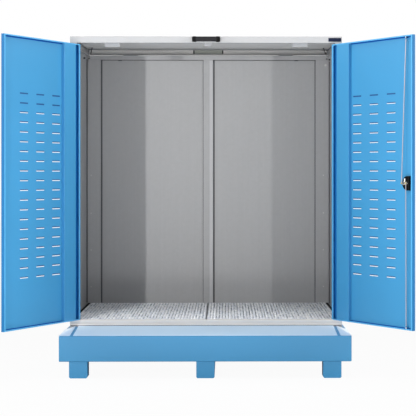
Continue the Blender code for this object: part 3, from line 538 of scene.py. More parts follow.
# Floor gratings: two lift-out panels of upright bearing bars with twisted square cross bars forged in
# flush, welded into a flat rim and hot-dip galvanised, so the zinc sets in bright beads. They carry the
# drums. The bearing bars are mottled darker, as painted shade on and between them. Black rubber fills
# the gap at each wall.
BAR_PITCH = 0.0392
BEARING_BAR = (0.0045, 0.030)
THIN_BAR = (0.003, 0.014)
CROSS_PITCH = 0.0333
CROSS_RADIUS = 0.0045
CROSS_TURN = 0.0784
CROSS_STEPS = 16
ALONG_X = (0, math.pi / 2, 0)
RIM_BAR = 0.005
BAR_EDGE = 0.0007
BEAD_SIZE = 0.012
BEAD_RUN = (1.0, 0.12, 1.0)
BEAD_RANGE = (0.38, 0.62)
BEAD_ROUGHNESS = 0.38
BEAD_METALLIC = 0.15
BEAD_DARK = "#DDE1E9"
BAR_PAINTED_SHADE_GREY = "#6C7078"
BAR_TOP_LIGHT = "#FAFBFF"
EDGE_STRIP = (0.0185, 0.0368)
EDGE_STRIP_GAP = 0.001
EDGE_BLACK = "#0A0A0B"
EDGE_SPECULAR = 0.1


def grating_zinc(name, dark, light):
    """A random mottle of two colours along Y: bright zinc beads, or on the bearing bars painted shade."""
    made, tree, shader, place = new_finish(name, {"Roughness": BEAD_ROUGHNESS, "Metallic": BEAD_METALLIC})
    run = add_node(tree, "ShaderNodeMapping", {"Vector": place, "Scale": BEAD_RUN}).outputs[0]
    bead = add_node(tree, "ShaderNodeTexNoise", {"Vector": run, "Scale": 1 / BEAD_SIZE, "Detail": 2.0})
    inputs = {"Value": bead.outputs["Fac"], "From Min": BEAD_RANGE[0], "From Max": BEAD_RANGE[1]}
    share = add_node(tree, "ShaderNodeMapRange", inputs).outputs[0]
    tree.links.new(mix_colours(tree, share, linear(dark), linear(light)), shader.inputs["Base Color"])
    return made


def twisted_bar(name, length, radius, place):
    """A square bar along X that makes a full turn in each CROSS_TURN of its length."""
    bar = round_bar(name, place, radius, length, 4, ALONG_X)
    select_edges(bar, lambda edge: abs(edge.verts[0].co.x - edge.verts[1].co.x) > length / 2)
    bpy.ops.mesh.subdivide(number_cuts=round(length / CROSS_TURN * CROSS_STEPS) - 1)
    bpy.ops.object.mode_set(mode="OBJECT")
    for vertex in bar.data.vertices:
        turn = Matrix.Rotation(2 * math.pi * vertex.co.x / CROSS_TURN, 3, "X")
        vertex.co = Vector(place) + turn @ (vertex.co - Vector(place))
    return bar


def repeat(bar, step, count):
    """Repeat a bar by an array."""
    row = bar.modifiers.new("row", "ARRAY")
    row.count = count
    row.use_relative_offset = False
    row.use_constant_offset = True
    row.constant_offset_displace = step
    bpy.ops.object.modifier_apply(modifier=row.name)
    return bar


def row_of_bars(name, size, place, step, count):
    """One bar with eased top edges, repeated by an array."""
    top = place[2] + size[2] / 2
    return repeat(block(name, place, size, BAR_EDGE, 1, lambda x, y, z: near(z, top)), step, count)


bead_zinc = grating_zinc("hot_dip_galvanised_grating_steel", BEAD_DARK, WHITE)
# The bearing bars' dark grey: painted shade.
bar_zinc_with_painted_shade = grating_zinc("galvanised_bearing_bars_with_painted_shade", BAR_PAINTED_SHADE_GREY, BAR_TOP_LIGHT)
low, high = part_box("grating_left")
middle = [(a + b) / 2 for a, b in zip(low, high)]
width, depth, height = [b - a for a, b in zip(low, high)]
bar_count = int((width - 2 * RIM_BAR) / BAR_PITCH)
first_x = middle[0] - BAR_PITCH * (bar_count - 1) / 2
cross_count = int((depth - 2 * RIM_BAR) / CROSS_PITCH)
first_y = middle[1] - CROSS_PITCH * (cross_count - 1) / 2
rim_x, rim_y = low[0] + RIM_BAR / 2, low[1] + RIM_BAR / 2
cross_place = (middle[0], first_y, high[2] - CROSS_RADIUS - BAR_EDGE)
frame_bars = [
    row_of_bars("rim_x", (RIM_BAR, depth, height), (rim_x, *middle[1:]), (width - RIM_BAR, 0, 0), 2),
    row_of_bars("rim_y", (width, RIM_BAR, height), (middle[0], rim_y, middle[2]), (0, depth - RIM_BAR, 0), 2),
    repeat(twisted_bar("cross", width, CROSS_RADIUS, cross_place), (0, CROSS_PITCH, 0), cross_count),
]
bearing_bars = []
for name, (thick, deep), x, count in (
    ("bearing", BEARING_BAR, first_x, bar_count),
    ("thin", THIN_BAR, first_x - BAR_PITCH / 2, bar_count + 1),
):
    size, place = (thick, depth - RIM_BAR, deep), (x, middle[1], high[2] - deep / 2)
    bearing_bars.append(row_of_bars(name, size, place, (BAR_PITCH, 0, 0), count))
left_grating = join_pieces(frame_bars, "left_floor_grating")
left_bars = join_pieces(bearing_bars, "left_grating_bearing_bars")
edge_rubber = powder_coat("black_rubber_floor_edge", EDGE_BLACK, MATT, specular=EDGE_SPECULAR)
strip_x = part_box("grating_right")[1][0] + EDGE_STRIP[0] / 2
strip_size = (EDGE_STRIP[0] - EDGE_STRIP_GAP, depth, EDGE_STRIP[1])
edge_strips = [
    block("strip", (side * strip_x, middle[1], low[2] + EDGE_STRIP[1] / 2), strip_size, BAR_EDGE)
    for side in (-1, 1)
]
finish_piece(join_pieces(edge_strips, "floor_edge_strips"), "base", edge_rubber)
to_right = (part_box("grating_right")[0][0] - low[0], 0, 0)
right_grating = copy_piece(left_grating, "right_floor_grating", to_right)
right_bars = copy_piece(left_bars, "right_grating_bearing_bars", to_right)
for grating, bars in ((left_grating, left_bars), (right_grating, right_bars)):
    finish_piece(grating, "base", bead_zinc)
    finish_piece(bars, "base", bar_zinc_with_painted_shade)
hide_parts("grating_left")
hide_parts("grating_right")


# Walls: galvanised sheets behind two pale front posts and grey posts at the back, each folded from
# 1.5 mm sheet. Smooth cold-rolled zinc, faintly streaked from floor to lid.
PALE_GREY = "#AEAEAF"
PALE_ROUGHNESS = 0.45
FRONT_POST_BEND = 0.0012
BACK_POST_BEND = 0.0015
WALL_LOOK = {"roughness": ZINC_ROUGHNESS, "metallic": 0.12, "spangle": 0.035, "streak": 0.07}

pale_coat = powder_coat("light_grey_powder_coat_on_steel", PALE_GREY, PALE_ROUGHNESS)
wall_zinc = zinc_sheet("galvanised_wall_sheet", ZINC, **WALL_LOOK)
for node in ("side_wall_left", "side_wall_right", "back_panel_left", "back_panel_right"):
    dress_node(node, wall_zinc)
for node in ("front_post_left", "front_post_right"):
    remake_front(node, pale_coat, FRONT_POST_BEND)
for node in ("back_post_left", "back_post_right", "back_centre_post"):
    remake_front(node, wall_zinc, BACK_POST_BEND)


# Strips on the walls: a raised cover strip on the centre post in lighter zinc, as a painted highlight;
# grey filler in the back panels' open joints, dark as painted shade in the joints; and thin dark strips
# at the left of the centre post and down each side wall, which are painted shade.
COVER_STRIP = ((0.0090, 1.2085, 0.300), (0.0330, 1.2100, 2.030))
JOINT_FILLERS = (
    ((-0.7583, 1.2180, 0.285), (-0.7478, 1.2220, 2.030)),
    ((0.7530, 1.2180, 0.285), (0.7583, 1.2220, 2.030)),
    ((0.0347, 1.2180, 0.285), (0.0453, 1.2220, 2.030)),
)
PANEL_FILLER = ((0.7475, 1.2140, 0.285), (0.7530, 1.2220, 2.030))
PAINTED_SHADE_SEAMS = (
    ((-0.0358, 1.2092, 0.300), (-0.0336, 1.2104, 2.030)),
    ((-0.8485, 1.1000, 0.330), (-0.8425, 1.1120, 2.030)),
    ((0.8430, 1.0300, 0.330), (0.8485, 1.0420, 2.010)),
)
SMALL_EDGE = 0.0004
STRIP_PAINTED_HIGHLIGHT_GREY = "#C0C0C2"
STRIP_LOOK = {**WALL_LOOK, "roughness": 0.4}
JOINT_PAINTED_SHADE_GREY = "#5A5B5E"
SEAM_PAINTED_SHADE_GREY = "#4A4B4E"


def plain_strip(name, low, high, edge=SMALL_EDGE, segments=1):
    """A straight strip between two corners, with eased edges."""
    middle = [(a + b) / 2 for a, b in zip(low, high)]
    return block(name, middle, [b - a for a, b in zip(low, high)], edge, segments)


def joined_strips(name, boxes):
    """Several straight strips as one piece."""
    return join_pieces([plain_strip("strip", *box) for box in boxes], name)


# Lighter zinc on the cover strip: painted highlight.
highlight_sheet = zinc_sheet("galvanised_cover_strip_with_painted_highlight", STRIP_PAINTED_HIGHLIGHT_GREY, **STRIP_LOOK)
cover_strip = plain_strip("centre_post_cover_strip", *COVER_STRIP)
finish_piece(cover_strip, "base", highlight_sheet)
# Dark filler in the joints: painted shade.
joint_filler_painted_shade = powder_coat("grey_joint_filler_painted_shade", JOINT_PAINTED_SHADE_GREY, MATT)
finish_piece(joined_strips("panel_joint_filler_painted_shade", JOINT_FILLERS), "base", joint_filler_painted_shade)
finish_piece(plain_strip("panel_edge_strip", *PANEL_FILLER), "base", wall_zinc)
# Dark seam strips: painted shade.
seam_painted_shade = powder_coat("dark_seam_painted_shade", SEAM_PAINTED_SHADE_GREY, MATT)
finish_piece(joined_strips("wall_seam_painted_shade", PAINTED_SHADE_SEAMS), "base", seam_painted_shade)


# Rivets: a column of zinc plated blind rivets up each back corner post, which hold the side walls to it.
RIVET_HEIGHTS = (0.432, 0.692, 0.952, 1.219)
RIVET_PLACES = (-0.826, 0.814)
RIVET_RADIUS = 0.0045
RIVET_HEIGHT = 0.0018
DOME_SHARE = 0.7
FASTENER_GREY = "#CFCFCC"
FASTENER_LOOK = {"roughness": 0.3, "metallic": 0.9, "spangle": 0.05, "size": 0.004}


def dome(name, place, radius, height, sides=16):
    """A low round head that faces the front: a short cylinder with its front edge rounded."""
    front = place[1] - height
    head = round_bar(name, (place[0], place[1] - height / 2, place[2]), radius, height, sides, ALONG_Y)
    round_edges(head, lambda x, y, z: near(y, front), height * DOME_SHARE)
    return head


first_rivet = dome("rivet", (0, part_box("back_post_left")[0][1], 0), RIVET_RADIUS, RIVET_HEIGHT)
rivets = [copy_piece(first_rivet, "rivet", (x, 0, z)) for x in RIVET_PLACES for z in RIVET_HEIGHTS]
bpy.data.objects.remove(first_rivet)
bright_zinc = zinc_sheet("zinc_plated_fastener_steel", FASTENER_GREY, **FASTENER_LOOK)
finish_piece(join_pieces(rivets, "back_post_rivets"), "base", bright_zinc)


# Knock-outs near the tops of the two back panels: round discs left half pressed through the sheet,
# where a vent can be fitted, each with a rubber grommet pressed into a slot above its middle.
KNOCK_OUT_X = 0.6228
KNOCK_OUT_Z = 2.020
KNOCK_OUT_RADIUS = 0.012
KNOCK_OUT_HEIGHT = 0.0012
KNOCK_OUT_SIDES = 28
GROMMET = (0.026, 0.002, 0.005)
GROMMET_RISE = 0.010
GROMMET_EDGE = 0.0006
GROMMET_GREY = "#4C4D50"

panel_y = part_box("back_panel_left")[0][1]
discs, grommets = [], []
for side in (-1, 1):
    place = (side * KNOCK_OUT_X, panel_y, KNOCK_OUT_Z)
    discs.append(dome("disc", place, KNOCK_OUT_RADIUS, KNOCK_OUT_HEIGHT, KNOCK_OUT_SIDES))
    place = (side * KNOCK_OUT_X, panel_y - GROMMET[1] / 2, KNOCK_OUT_Z + GROMMET_RISE)
    grommets.append(front_block("slot", place, GROMMET, GROMMET_EDGE))
finish_piece(join_pieces(discs, "back_panel_knock_outs"), "base", wall_zinc)
grey_rubber = powder_coat("moulded_grey_rubber", GROMMET_GREY, MATT)
finish_piece(join_pieces(grommets, "knock_out_grommets"), "base", grey_rubber)


# Top frame: folded galvanised rails that tie the walls under the lid, with a grey seal under the lid, a
# black strip under the back rail that is painted shadow, black rubber plugs in their unused holes and one
# bright screw at the right.
RAIL_EDGE_BEND = 0.0015
SEAL_GREY = "#5E5F61"
SEAL_EDGE = 0.0008
LID_SEAL_HALF = 0.848
LID_SEAL_INSET = (0.010, 0.002)
LID_SEAL_HEIGHT = 0.0028
RAIL_SHADOW_HALF = 0.846
RAIL_SHADOW_INSET = 0.0005
RAIL_SHADOW_LAP = 0.003
RAIL_SHADOW_HEIGHT = 0.0040
PLUG_PLACES = ((-0.839, 2.044), (0.838, 2.041))
SIDE_PLUG_PLACES = ((-1, 0.880, 2.020), (1, 1.020, 2.022))
PLUG_RADIUS = 0.006
PLUG_HEIGHT = 0.003
SIDE_PLUG_HEIGHT = 0.012
SCREW_PLACE = (0.830, 1.998)
SCREW_RADIUS = 0.008
SCREW_HEIGHT = 0.004

for node in ("front_header", "side_top_rail_left", "side_top_rail_right"):
    dress_node(node, wall_zinc)
low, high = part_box("back_top_rail")
remake("back_top_rail", wall_zinc, (lambda x, y, z: near(y, low[1]) and near(z, high[2]), RAIL_EDGE_BEND))
grey_sealant = powder_coat("grey_lid_sealant", SEAL_GREY, MATT)
post_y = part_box("back_post_left")[0][1]
lid_seal = plain_strip(
    "lid_seal",
    (-LID_SEAL_HALF, high[1] - LID_SEAL_INSET[0], high[2]),
    (LID_SEAL_HALF, high[1] - LID_SEAL_INSET[1], high[2] + LID_SEAL_HEIGHT),
    SEAL_EDGE,
    2,
)
finish_piece(lid_seal, "base", grey_sealant)
# A black strip under the back rail: painted shadow.
back_rail_painted_shadow = plain_strip(
    "back_rail_painted_shadow",
    (-RAIL_SHADOW_HALF, low[1] + RAIL_SHADOW_INSET, low[2] - RAIL_SHADOW_HEIGHT),
    (RAIL_SHADOW_HALF, post_y + RAIL_SHADOW_LAP, low[2]),
    SEAL_EDGE,
    2,
)
finish_piece(back_rail_painted_shadow, "base", black_rubber)
plugs = [dome("plug", (x, low[1], z), PLUG_RADIUS, PLUG_HEIGHT) for x, z in PLUG_PLACES]
wall_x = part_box("side_wall_right")[0][0]
for side, y, z in SIDE_PLUG_PLACES:
    plug = dome("plug", (0, 0, 0), PLUG_RADIUS, SIDE_PLUG_HEIGHT)
    turn = Matrix.Rotation(-side * math.pi / 2, 4, "Z")
    plug.data.transform(Matrix.Translation((side * wall_x, y, z)) @ turn)
    plugs.append(plug)
finish_piece(join_pieces(plugs, "back_rail_plugs"), "base", black_rubber)
screw_place = (SCREW_PLACE[0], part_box("back_post_right")[0][1], SCREW_PLACE[1])
screw = dome("back_post_screw", screw_place, SCREW_RADIUS, SCREW_HEIGHT)
finish_piece(screw, "base", bright_zinc)


# Door stops: three pale plates screwed under the front header, which the shut doors come to rest on.
STOP_GREY = "#A2A3A5"
STOP_BEND = 0.0006

stop_coat = powder_coat("grey_powder_coat_on_stops", STOP_GREY, SATIN)
for node in ("door_stop_left", "door_stop_right", "door_stop_centre"):
    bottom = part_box(node)[0][2]
    remake(node, stop_coat, (lambda x, y, z: near(z, bottom), STOP_BEND))


# Lid: a shallow tray folded from 1.5 mm sheet, coated pale grey outside, on two hinges at the back. It
# rises towards the back, and a white liner under it and on its back skirt follows it; the liner's white
# is painted light. A band of zinc-coloured sheet across its back is painted shade, and a grey-green plate
# with dark ends is screwed to its back skirt.
LID_BEND = 0.0012
LID_SLOPE = 0.0215 / 1.2485
LINER_PAINTED_LIGHT_WHITE = "#E8E6E3"
LINER_HALF = 0.842
LINER_Y = (0.006, 1.236)
LINER_THICKNESS = 0.0012
LINER_DROP = 0.0028
LID_PAINTED_SHADE_BAND = ((-0.842, 1.080, 2.1040), (0.842, 1.236, 2.1052))
BACK_SKIRT_PAINTED_LIGHT = ((-0.842, 1.2452, 2.0720), (0.842, 1.2464, 2.1060))
PLATE_GREEN = "#B2B5AD"
PLATE_BEND = 0.0008
PLATE_END = (0.009, 0.0012)
PLATE_END_GAP = 0.002


def slope(piece, back_y):
    """Let a level piece fall towards the front as the lid does, from a line across its back."""
    for vertex in piece.data.vertices:
        vertex.co.z -= LID_SLOPE * (back_y - vertex.co.y)


lid_coat = powder_coat("light_grey_powder_coat_on_lid", PALE_GREY, PALE_ROUGHNESS)
low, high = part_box("roof_lid")
remake("roof_lid", lid_coat, (lambda x, y, z: near(y, low[1]) or near(abs(x), high[0]), LID_BEND))
# The liner's white under the lid: painted light.
liner = block(
    "lid_painted_light_liner",
    (0, (LINER_Y[0] + LINER_Y[1]) / 2, high[2] - LINER_DROP),
    (2 * LINER_HALF, LINER_Y[1] - LINER_Y[0], LINER_THICKNESS),
)
slope(liner, high[1])
round_edges(liner, anywhere, SMALL_EDGE, 2)
liner_painted_light = powder_coat("white_coat_with_painted_light_on_liner", LINER_PAINTED_LIGHT_WHITE, SATIN)
finish_piece(liner, "lid", liner_painted_light)
# A zinc-coloured band across the liner's back: painted shade.
painted_shade_band = plain_strip("lid_rear_painted_shade_band", *LID_PAINTED_SHADE_BAND)
slope(painted_shade_band, LID_PAINTED_SHADE_BAND[1][1])
finish_piece(painted_shade_band, "lid", wall_zinc)
# A white strip on the back skirt: painted light.
finish_piece(plain_strip("lid_back_skirt_painted_light", *BACK_SKIRT_PAINTED_LIGHT), "lid", liner_painted_light)
plate_coat = powder_coat("grey_green_enamel_plate", PLATE_GREEN, SATIN)
remake_front("lid_back_plate", plate_coat, PLATE_BEND)
low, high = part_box("lid_back_plate")
end_size = (*PLATE_END, high[2] - low[2] - PLATE_END_GAP)
ends = [
    front_block("end", (x, low[1] - PLATE_END[1] / 2, (low[2] + high[2]) / 2), end_size, SMALL_EDGE)
    for x in (low[0] + PLATE_END[0] / 2, high[0] - PLATE_END[0] / 2)
]
finish_piece(join_pieces(ends, "lid_back_plate_ends"), "lid", black_rubber)
for side in ("left", "right"):
    dress_node(f"lid_hinge_{side}_fixed", frame_zinc)
    dress_node(f"lid_hinge_{side}_moving", frame_zinc)


# Lid stays: in each upper back corner a short black bar that lies under the lid, with a bright eye at its
# back end, and beside it the small galvanised bracket on the wall that the eye hooks on.
STAY_FRONT = (0.800, 0.990, 2.0985)
STAY_BACK = (0.828, 1.185, 2.0760)
STAY_RADIUS = 0.0035
STAY_SIDES = 16
STAY_END = 0.004
STAY_END_EDGE = 0.0012
STAY_BLACK = "#2B2B2E"
STAY_ROUGHNESS = 0.4
STAY_EYE = (0.006, 0.008)
BRACKET = (0.0015, 0.012, 0.030)
BRACKET_X = STAY_BACK[0] + 0.008
BRACKET_INSET = 0.008
BRACKET_Z = 2.048
BRACKET_EDGE = 0.0005

stay_black = powder_coat("black_enamelled_lid_stay", STAY_BLACK, STAY_ROUGHNESS)
for name, side in (("left", -1), ("right", 1)):
    front = Vector((side * STAY_FRONT[0], *STAY_FRONT[1:]))
    back = Vector((side * STAY_BACK[0], *STAY_BACK[1:]))
    along = back - front
    turn = along.to_track_quat("Z", "Y").to_euler()
    stay = round_bar(f"lid_stay_{name}", (front + back) / 2, STAY_RADIUS, along.length, STAY_SIDES, turn)
    round_edges(stay, lambda x, y, z: y < front.y + STAY_END or y > back.y - STAY_END, STAY_END_EDGE, 2)
    finish_piece(stay, "lid", stay_black)
    eye = dome(f"lid_stay_{name}_eye", back, *STAY_EYE)
    finish_piece(eye, "lid", bright_zinc)
    place = (side * BRACKET_X, post_y - BRACKET_INSET, BRACKET_Z)
    bracket = front_block(f"lid_stay_{name}_bracket", place, BRACKET, BRACKET_EDGE)
    finish_piece(bracket, "base", frame_zinc)


# Bow handle on the lid's front skirt: a moulded black plastic bow, a dark grey bar between two thicker
# feet that are screwed on from inside. Beside it at the right end sits a blank dark plate.
HANDLE_GREY = "#232325"
FOOT_BLACK = "#050506"
DULL = 0.12
FOOT_WIDTH = 0.025
FOOT_BEND = 0.0075
FOOT_SEGMENTS = 5
BAR_DEPTH = 0.010
BAR_INSET = 0.0015
BAR_BEND = 0.0035
BAR_SEGMENTS = 4
BLANK_NAVY = "#141C34"
BLANK_ROUGHNESS = 0.4
BLANK_BEND = 0.0006

handle_grey = powder_coat("moulded_dark_grey_plastic", HANDLE_GREY, SATIN, specular=DULL)
foot_black = powder_coat("moulded_black_plastic", FOOT_BLACK, SATIN, specular=DULL)
low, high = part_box("lid_handle")
bar = block(
    "bow_handle_bar",
    (0, low[1] + BAR_DEPTH / 2 + BAR_INSET, (low[2] + high[2]) / 2),
    (high[0] - low[0] - FOOT_WIDTH, BAR_DEPTH - BAR_INSET, high[2] - low[2] - 2 * BAR_INSET),
    BAR_BEND,
    BAR_SEGMENTS,
)
finish_piece(bar, "lid", handle_grey)
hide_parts("lid_handle")
feet = []
for side in (-1, 1):
    feet.append(
        block(
            "foot",
            (side * (high[0] - FOOT_WIDTH / 2), (low[1] + high[1]) / 2, (low[2] + high[2]) / 2),
            (FOOT_WIDTH, high[1] - low[1], high[2] - low[2]),
            FOOT_BEND,
            FOOT_SEGMENTS,
            lambda x, y, z: near(y, low[1]) or near(x, side * high[0]),
        )
    )
finish_piece(join_pieces(feet, "bow_handle_feet"), "lid", foot_black)
navy = powder_coat("dark_anodised_blank_plate", BLANK_NAVY, BLANK_ROUGHNESS, specular=DULL)
remake_front("lid_blank_plate", navy, BLANK_BEND)


# Doors: two leaves, each a skin folded from 1.5 mm sheet, with lips turned in along its rim and a
# hat-section stile welded in beside the hinges. Darker blues are painted shade in the folds at the top and
# bottom, in the recess beside the stile, on the stile's sides and on the sheet's outer edges; a lighter
# blue on the lips is a painted highlight.
HINGE_X = 0.807
HINGE_Y = -0.006
LEFT_OPEN = 117.2
RIGHT_OPEN = 121.2
SHEET = 0.0015
SKIN_N = 0.006
LIP_N = 0.028
DOOR_BEND = 0.0018
STILE_BEND = 0.0020
LONG_EDGE = 0.5
END_LIP = 0.008
FOLD_DEPTH = 0.006
FOLD_RISE = 0.003
SHADE_STRIP_THICKNESS = 0.0002
EDGE_SIDE = 0.001
EDGE_TURN = 0.7
FOLD_PAINTED_SHADE_BLUE = "#1055A6"
RECESS_PAINTED_SHADE_BLUE = "#2376BC"
STILE_SIDE_PAINTED_SHADE_BLUE = "#3380B4"
LIP_PAINTED_HIGHLIGHT_BLUE = "#4D9FCF"
EDGE_PAINTED_SHADE_BLUE = "#286FA3"

DOOR_FRAMES = {}
for name, side, degrees in (("left", -1, LEFT_OPEN), ("right", 1, RIGHT_OPEN)):
    turn = Matrix.Rotation(side * math.radians(degrees), 4, "Z")
    DOOR_FRAMES[name] = Matrix.Translation((side * HINGE_X, HINGE_Y, 0)) @ turn
INWARD = {"left": 1, "right": -1}


def points_in(node, axes):
    """The corners of a CAD node in other axes."""
    return [axes @ vertex.co for vertex in frame["nodes"][node].data.vertices]


def leaf_reach(name, node):
    """How far a door's node reaches from the hinge line, least and most, and its lowest and highest place."""
    points = points_in(node, DOOR_FRAMES[name].inverted())
    reach, heights = [INWARD[name] * point.x for point in points], [point.z for point in points]
    return min(reach), max(reach), min(heights), max(heights)


def leaf_strip(name, u, n, z, edge=SMALL_EDGE):
    """A strip on a door between two places each way in the door's own axes, with eased edges."""
    middle = (INWARD[name] * (u[0] + u[1]) / 2, (n[0] + n[1]) / 2, (z[0] + z[1]) / 2)
    strip = block("strip", middle, (u[1] - u[0], n[1] - n[0], z[1] - z[0]), edge)
    strip.data.transform(DOOR_FRAMES[name])
    return strip


# Darker blues: painted shade; the lighter blue on the lips: painted highlight.
fold_painted_shade = powder_coat("blue_coat_with_painted_shade_in_folds", FOLD_PAINTED_SHADE_BLUE, MATT, specular=DULL)
recess_painted_shade = powder_coat("blue_coat_with_painted_shade_in_recess", RECESS_PAINTED_SHADE_BLUE, MATT, specular=DULL)
stile_side_painted_shade = powder_coat("blue_coat_with_painted_shade_on_stile_sides", STILE_SIDE_PAINTED_SHADE_BLUE, BLUE_ROUGHNESS)
edge_painted_shade = powder_coat("blue_coat_with_painted_shade_on_sheet_edges", EDGE_PAINTED_SHADE_BLUE, BLUE_ROUGHNESS, specular=DULL)
lip_painted_highlight = powder_coat("blue_coat_with_painted_highlight_on_lips", LIP_PAINTED_HIGHLIGHT_BLUE, BLUE_ROUGHNESS)
for name, place in DOOR_FRAMES.items():
    node, stile_node = f"{name}_door_skin", f"{name}_door_stile"
    to_leaf, inward, body = place.inverted(), INWARD[name], BODY_OF[node]
    leaf = {"axes": to_leaf, "shortest": LONG_EDGE}
    start_u, end_u, low_z, high_z = leaf_reach(name, node)
    skin = copy_node(node)
    round_edges(skin, lambda u, n, z: near(n, SKIN_N) or near(n, LIP_N), DOOR_BEND, **leaf)
    finish_piece(skin, body, blue_coat)
    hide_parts(node)
    # Free-edge faces get the painted shade, lip faces the painted highlight.
    for finish in (edge_painted_shade, lip_painted_highlight):
        skin.data.materials.append(finish)
    for face in skin.data.polygons:
        centre = to_leaf @ face.center
        if inward * centre.x > end_u - EDGE_SIDE:
            face.material_index = 1
        elif centre.y > LIP_N - EDGE_SIDE:
            face.material_index = 2

    stile_u = leaf_reach(name, stile_node)[0]
    inner_u, inner_z = (start_u + SHEET, end_u - SHEET), (low_z + SHEET, high_z - SHEET)
    shade_n, side_u = (SKIN_N + SHEET, SKIN_N + SHEET + SHADE_STRIP_THICKNESS), (inner_u[0], inner_u[0] + SHADE_STRIP_THICKNESS)
    # Dark strips in the recess and on the lip's inner face: painted shade.
    recess = [
        leaf_strip(name, (inner_u[0], stile_u), shade_n, inner_z, SHADE_STRIP_THICKNESS / 4),
        leaf_strip(name, side_u, (SKIN_N, LIP_N - SHEET), inner_z, SHADE_STRIP_THICKNESS / 4),
    ]
    finish_piece(join_pieces(recess, f"{name}_door_recess_painted_shade_strips"), body, recess_painted_shade)
    # Dark strips under the top lip and over the bottom lip: painted shade.
    folds = [
        leaf_strip(name, inner_u, shade_n, (high_z - END_LIP - FOLD_DEPTH, inner_z[1]), SHADE_STRIP_THICKNESS / 4),
        leaf_strip(name, inner_u, shade_n, (inner_z[0], low_z + END_LIP + FOLD_RISE), SHADE_STRIP_THICKNESS / 4),
    ]
    finish_piece(join_pieces(folds, f"{name}_door_fold_painted_shade_strips"), body, fold_painted_shade)

    stile = copy_node(stile_node)
    round_edges(stile, lambda u, n, z: n > LIP_N - EDGE_SIDE, STILE_BEND, **leaf)
    finish_piece(stile, BODY_OF[stile_node], blue_coat)
    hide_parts(stile_node)
    # The stile's inward sides get the painted shade.
    stile.data.materials.append(stile_side_painted_shade)
    for face in stile.data.polygons:
        if inward * (to_leaf.to_3x3() @ face.normal).x > EDGE_TURN:
            face.material_index = 1
    for number in (1, 2, 3):
        dress_node(f"{name}_hinge_{number}_fixed", frame_zinc)
        dress_node(f"{name}_hinge_{number}_moving", frame_zinc)


# Louvres: three columns of twenty in each door, pressed out of the skin, each with a rolled lip under a
# hood. A dark blue strip in each hood is painted shade; the top rows are left shut.
LOUVRE_ROWS = 20
LOUVRE_COLUMNS = 3
LOUVRE_LENGTH = 0.084
LOUVRE_SLIT = 0.007
LOUVRE_LIP = 0.0026
LOUVRE_SHADE = 0.0075
LOUVRE_BOTTOM = 0.2954
LOUVRE_TOP = 0.3344
LOUVRE_FIRST = 0.199
LOUVRE_LAST = 0.1845 + LOUVRE_LENGTH
LOUVRE_END = 0.0004
HOOD_N = (SKIN_N - 0.0006, SKIN_N + 0.0004)
HOOD_EDGE = 0.0002
LIP_RISE = (SKIN_N, SKIN_N + 0.0012)
LIP_EDGE = 0.0003
CLOSED_ROWS = {"left": 2, "right": 1}
HOOD_PAINTED_SHADE_BLUE = "#12467C"

hood_painted_shade = powder_coat("blue_coat_with_painted_shade_in_hoods", HOOD_PAINTED_SHADE_BLUE, MATT)
for name, place in DOOR_FRAMES.items():
    start_u, end_u, low_z, high_z = leaf_reach(name, f"{name}_door_skin")
    first_u, last_u = LOUVRE_FIRST, end_u - LOUVRE_LAST
    first_z, last_z = low_z + LOUVRE_BOTTOM, high_z - LOUVRE_TOP
    long_u, slit = (LOUVRE_END, LOUVRE_LENGTH - LOUVRE_END), LOUVRE_SLIT / 2
    # A dark strip above each slit: painted shade in the hood.
    shade = leaf_strip(name, long_u, HOOD_N, (slit, slit + LOUVRE_SHADE), HOOD_EDGE)
    closed_shade = leaf_strip(name, long_u, HOOD_N, (-slit, slit + LOUVRE_SHADE), HOOD_EDGE)
    lip = leaf_strip(name, long_u, LIP_RISE, (-slit - LIP_EDGE, LOUVRE_LIP - slit), LIP_EDGE)
    lips, shades = [], []
    for column in range(LOUVRE_COLUMNS):
        u = first_u + (last_u - first_u) * column / (LOUVRE_COLUMNS - 1)
        for row in range(LOUVRE_ROWS):
            z = first_z + (last_z - first_z) * row / (LOUVRE_ROWS - 1)
            move = place.to_3x3() @ Vector((INWARD[name] * u, 0, z))
            closed = row >= LOUVRE_ROWS - CLOSED_ROWS[name]
            shades.append(copy_piece(closed_shade if closed else shade, "shade", move))
            if not closed:
                lips.append(copy_piece(lip, "lip", move))
    for first in (shade, closed_shade, lip):
        bpy.data.objects.remove(first)
    body = BODY_OF[f"{name}_door_skin"]
    finish_piece(join_pieces(shades, f"{name}_door_louvre_hood_painted_shade"), body, hood_painted_shade)
    finish_piece(join_pieces(lips, f"{name}_door_louvre_lips"), body, blue_coat)


# Rod lock inside the right door: a black moulded case, a zinc plated cam with two arms and a white tongue
# that is a painted highlight, and two thin rods that the cam pushes up and down through the door's ends. A
# brass pin joins each rod to its arm, a white plastic tip covers its end, and a blue guide holds it.
CASE_BLACK = "#060607"
CASE_ROUGHNESS = 0.35
ROD_COLOUR = "#A9A2A6"
ROD_LOOK = {"roughness": 0.35, "metallic": 0.6, "spangle": 0.04, "size": 0.004}
CAM_COLOUR = "#D9D6CC"
CAM_LOOK = {"roughness": 0.25, "metallic": 0.9, "spangle": 0.06, "size": 0.003}
BRASS = "#D2B46A"
BRASS_LOOK = {"roughness": 0.3, "metallic": 0.9, "spangle": 0.04, "size": 0.003}
TIP_AND_HIGHLIGHT_WHITE = "#F2F2F0"
TIP_ROUGHNESS = 0.4
CASE_BEND = 0.0025
CAM_BEND = 0.0008
GRIP_BEND = 0.003
OUTER_PLATE_BEND = 0.0012
OUTER_PLATE_N = 0.003
KEY_BEND = 0.0006
CAM_REACH = 0.020
CAM_BOSS = 0.0048
PIN = (0.0048, 0.0030)
PIN_RISE = 0.0055
TIP_RADIUS = 0.0034
TIP_LENGTH = 0.013
TIP_SIDES = 20
TIP_EDGE = 0.001
TONGUE = (0.009, 0.004, 0.017)
TONGUE_PLACE = (0.004, 0.019)
TONGUE_RISE = 0.0005
TONGUE_EDGE = 0.0015
CASE_SCREWS = ((0.020, 0.034), (0.020, -0.034))
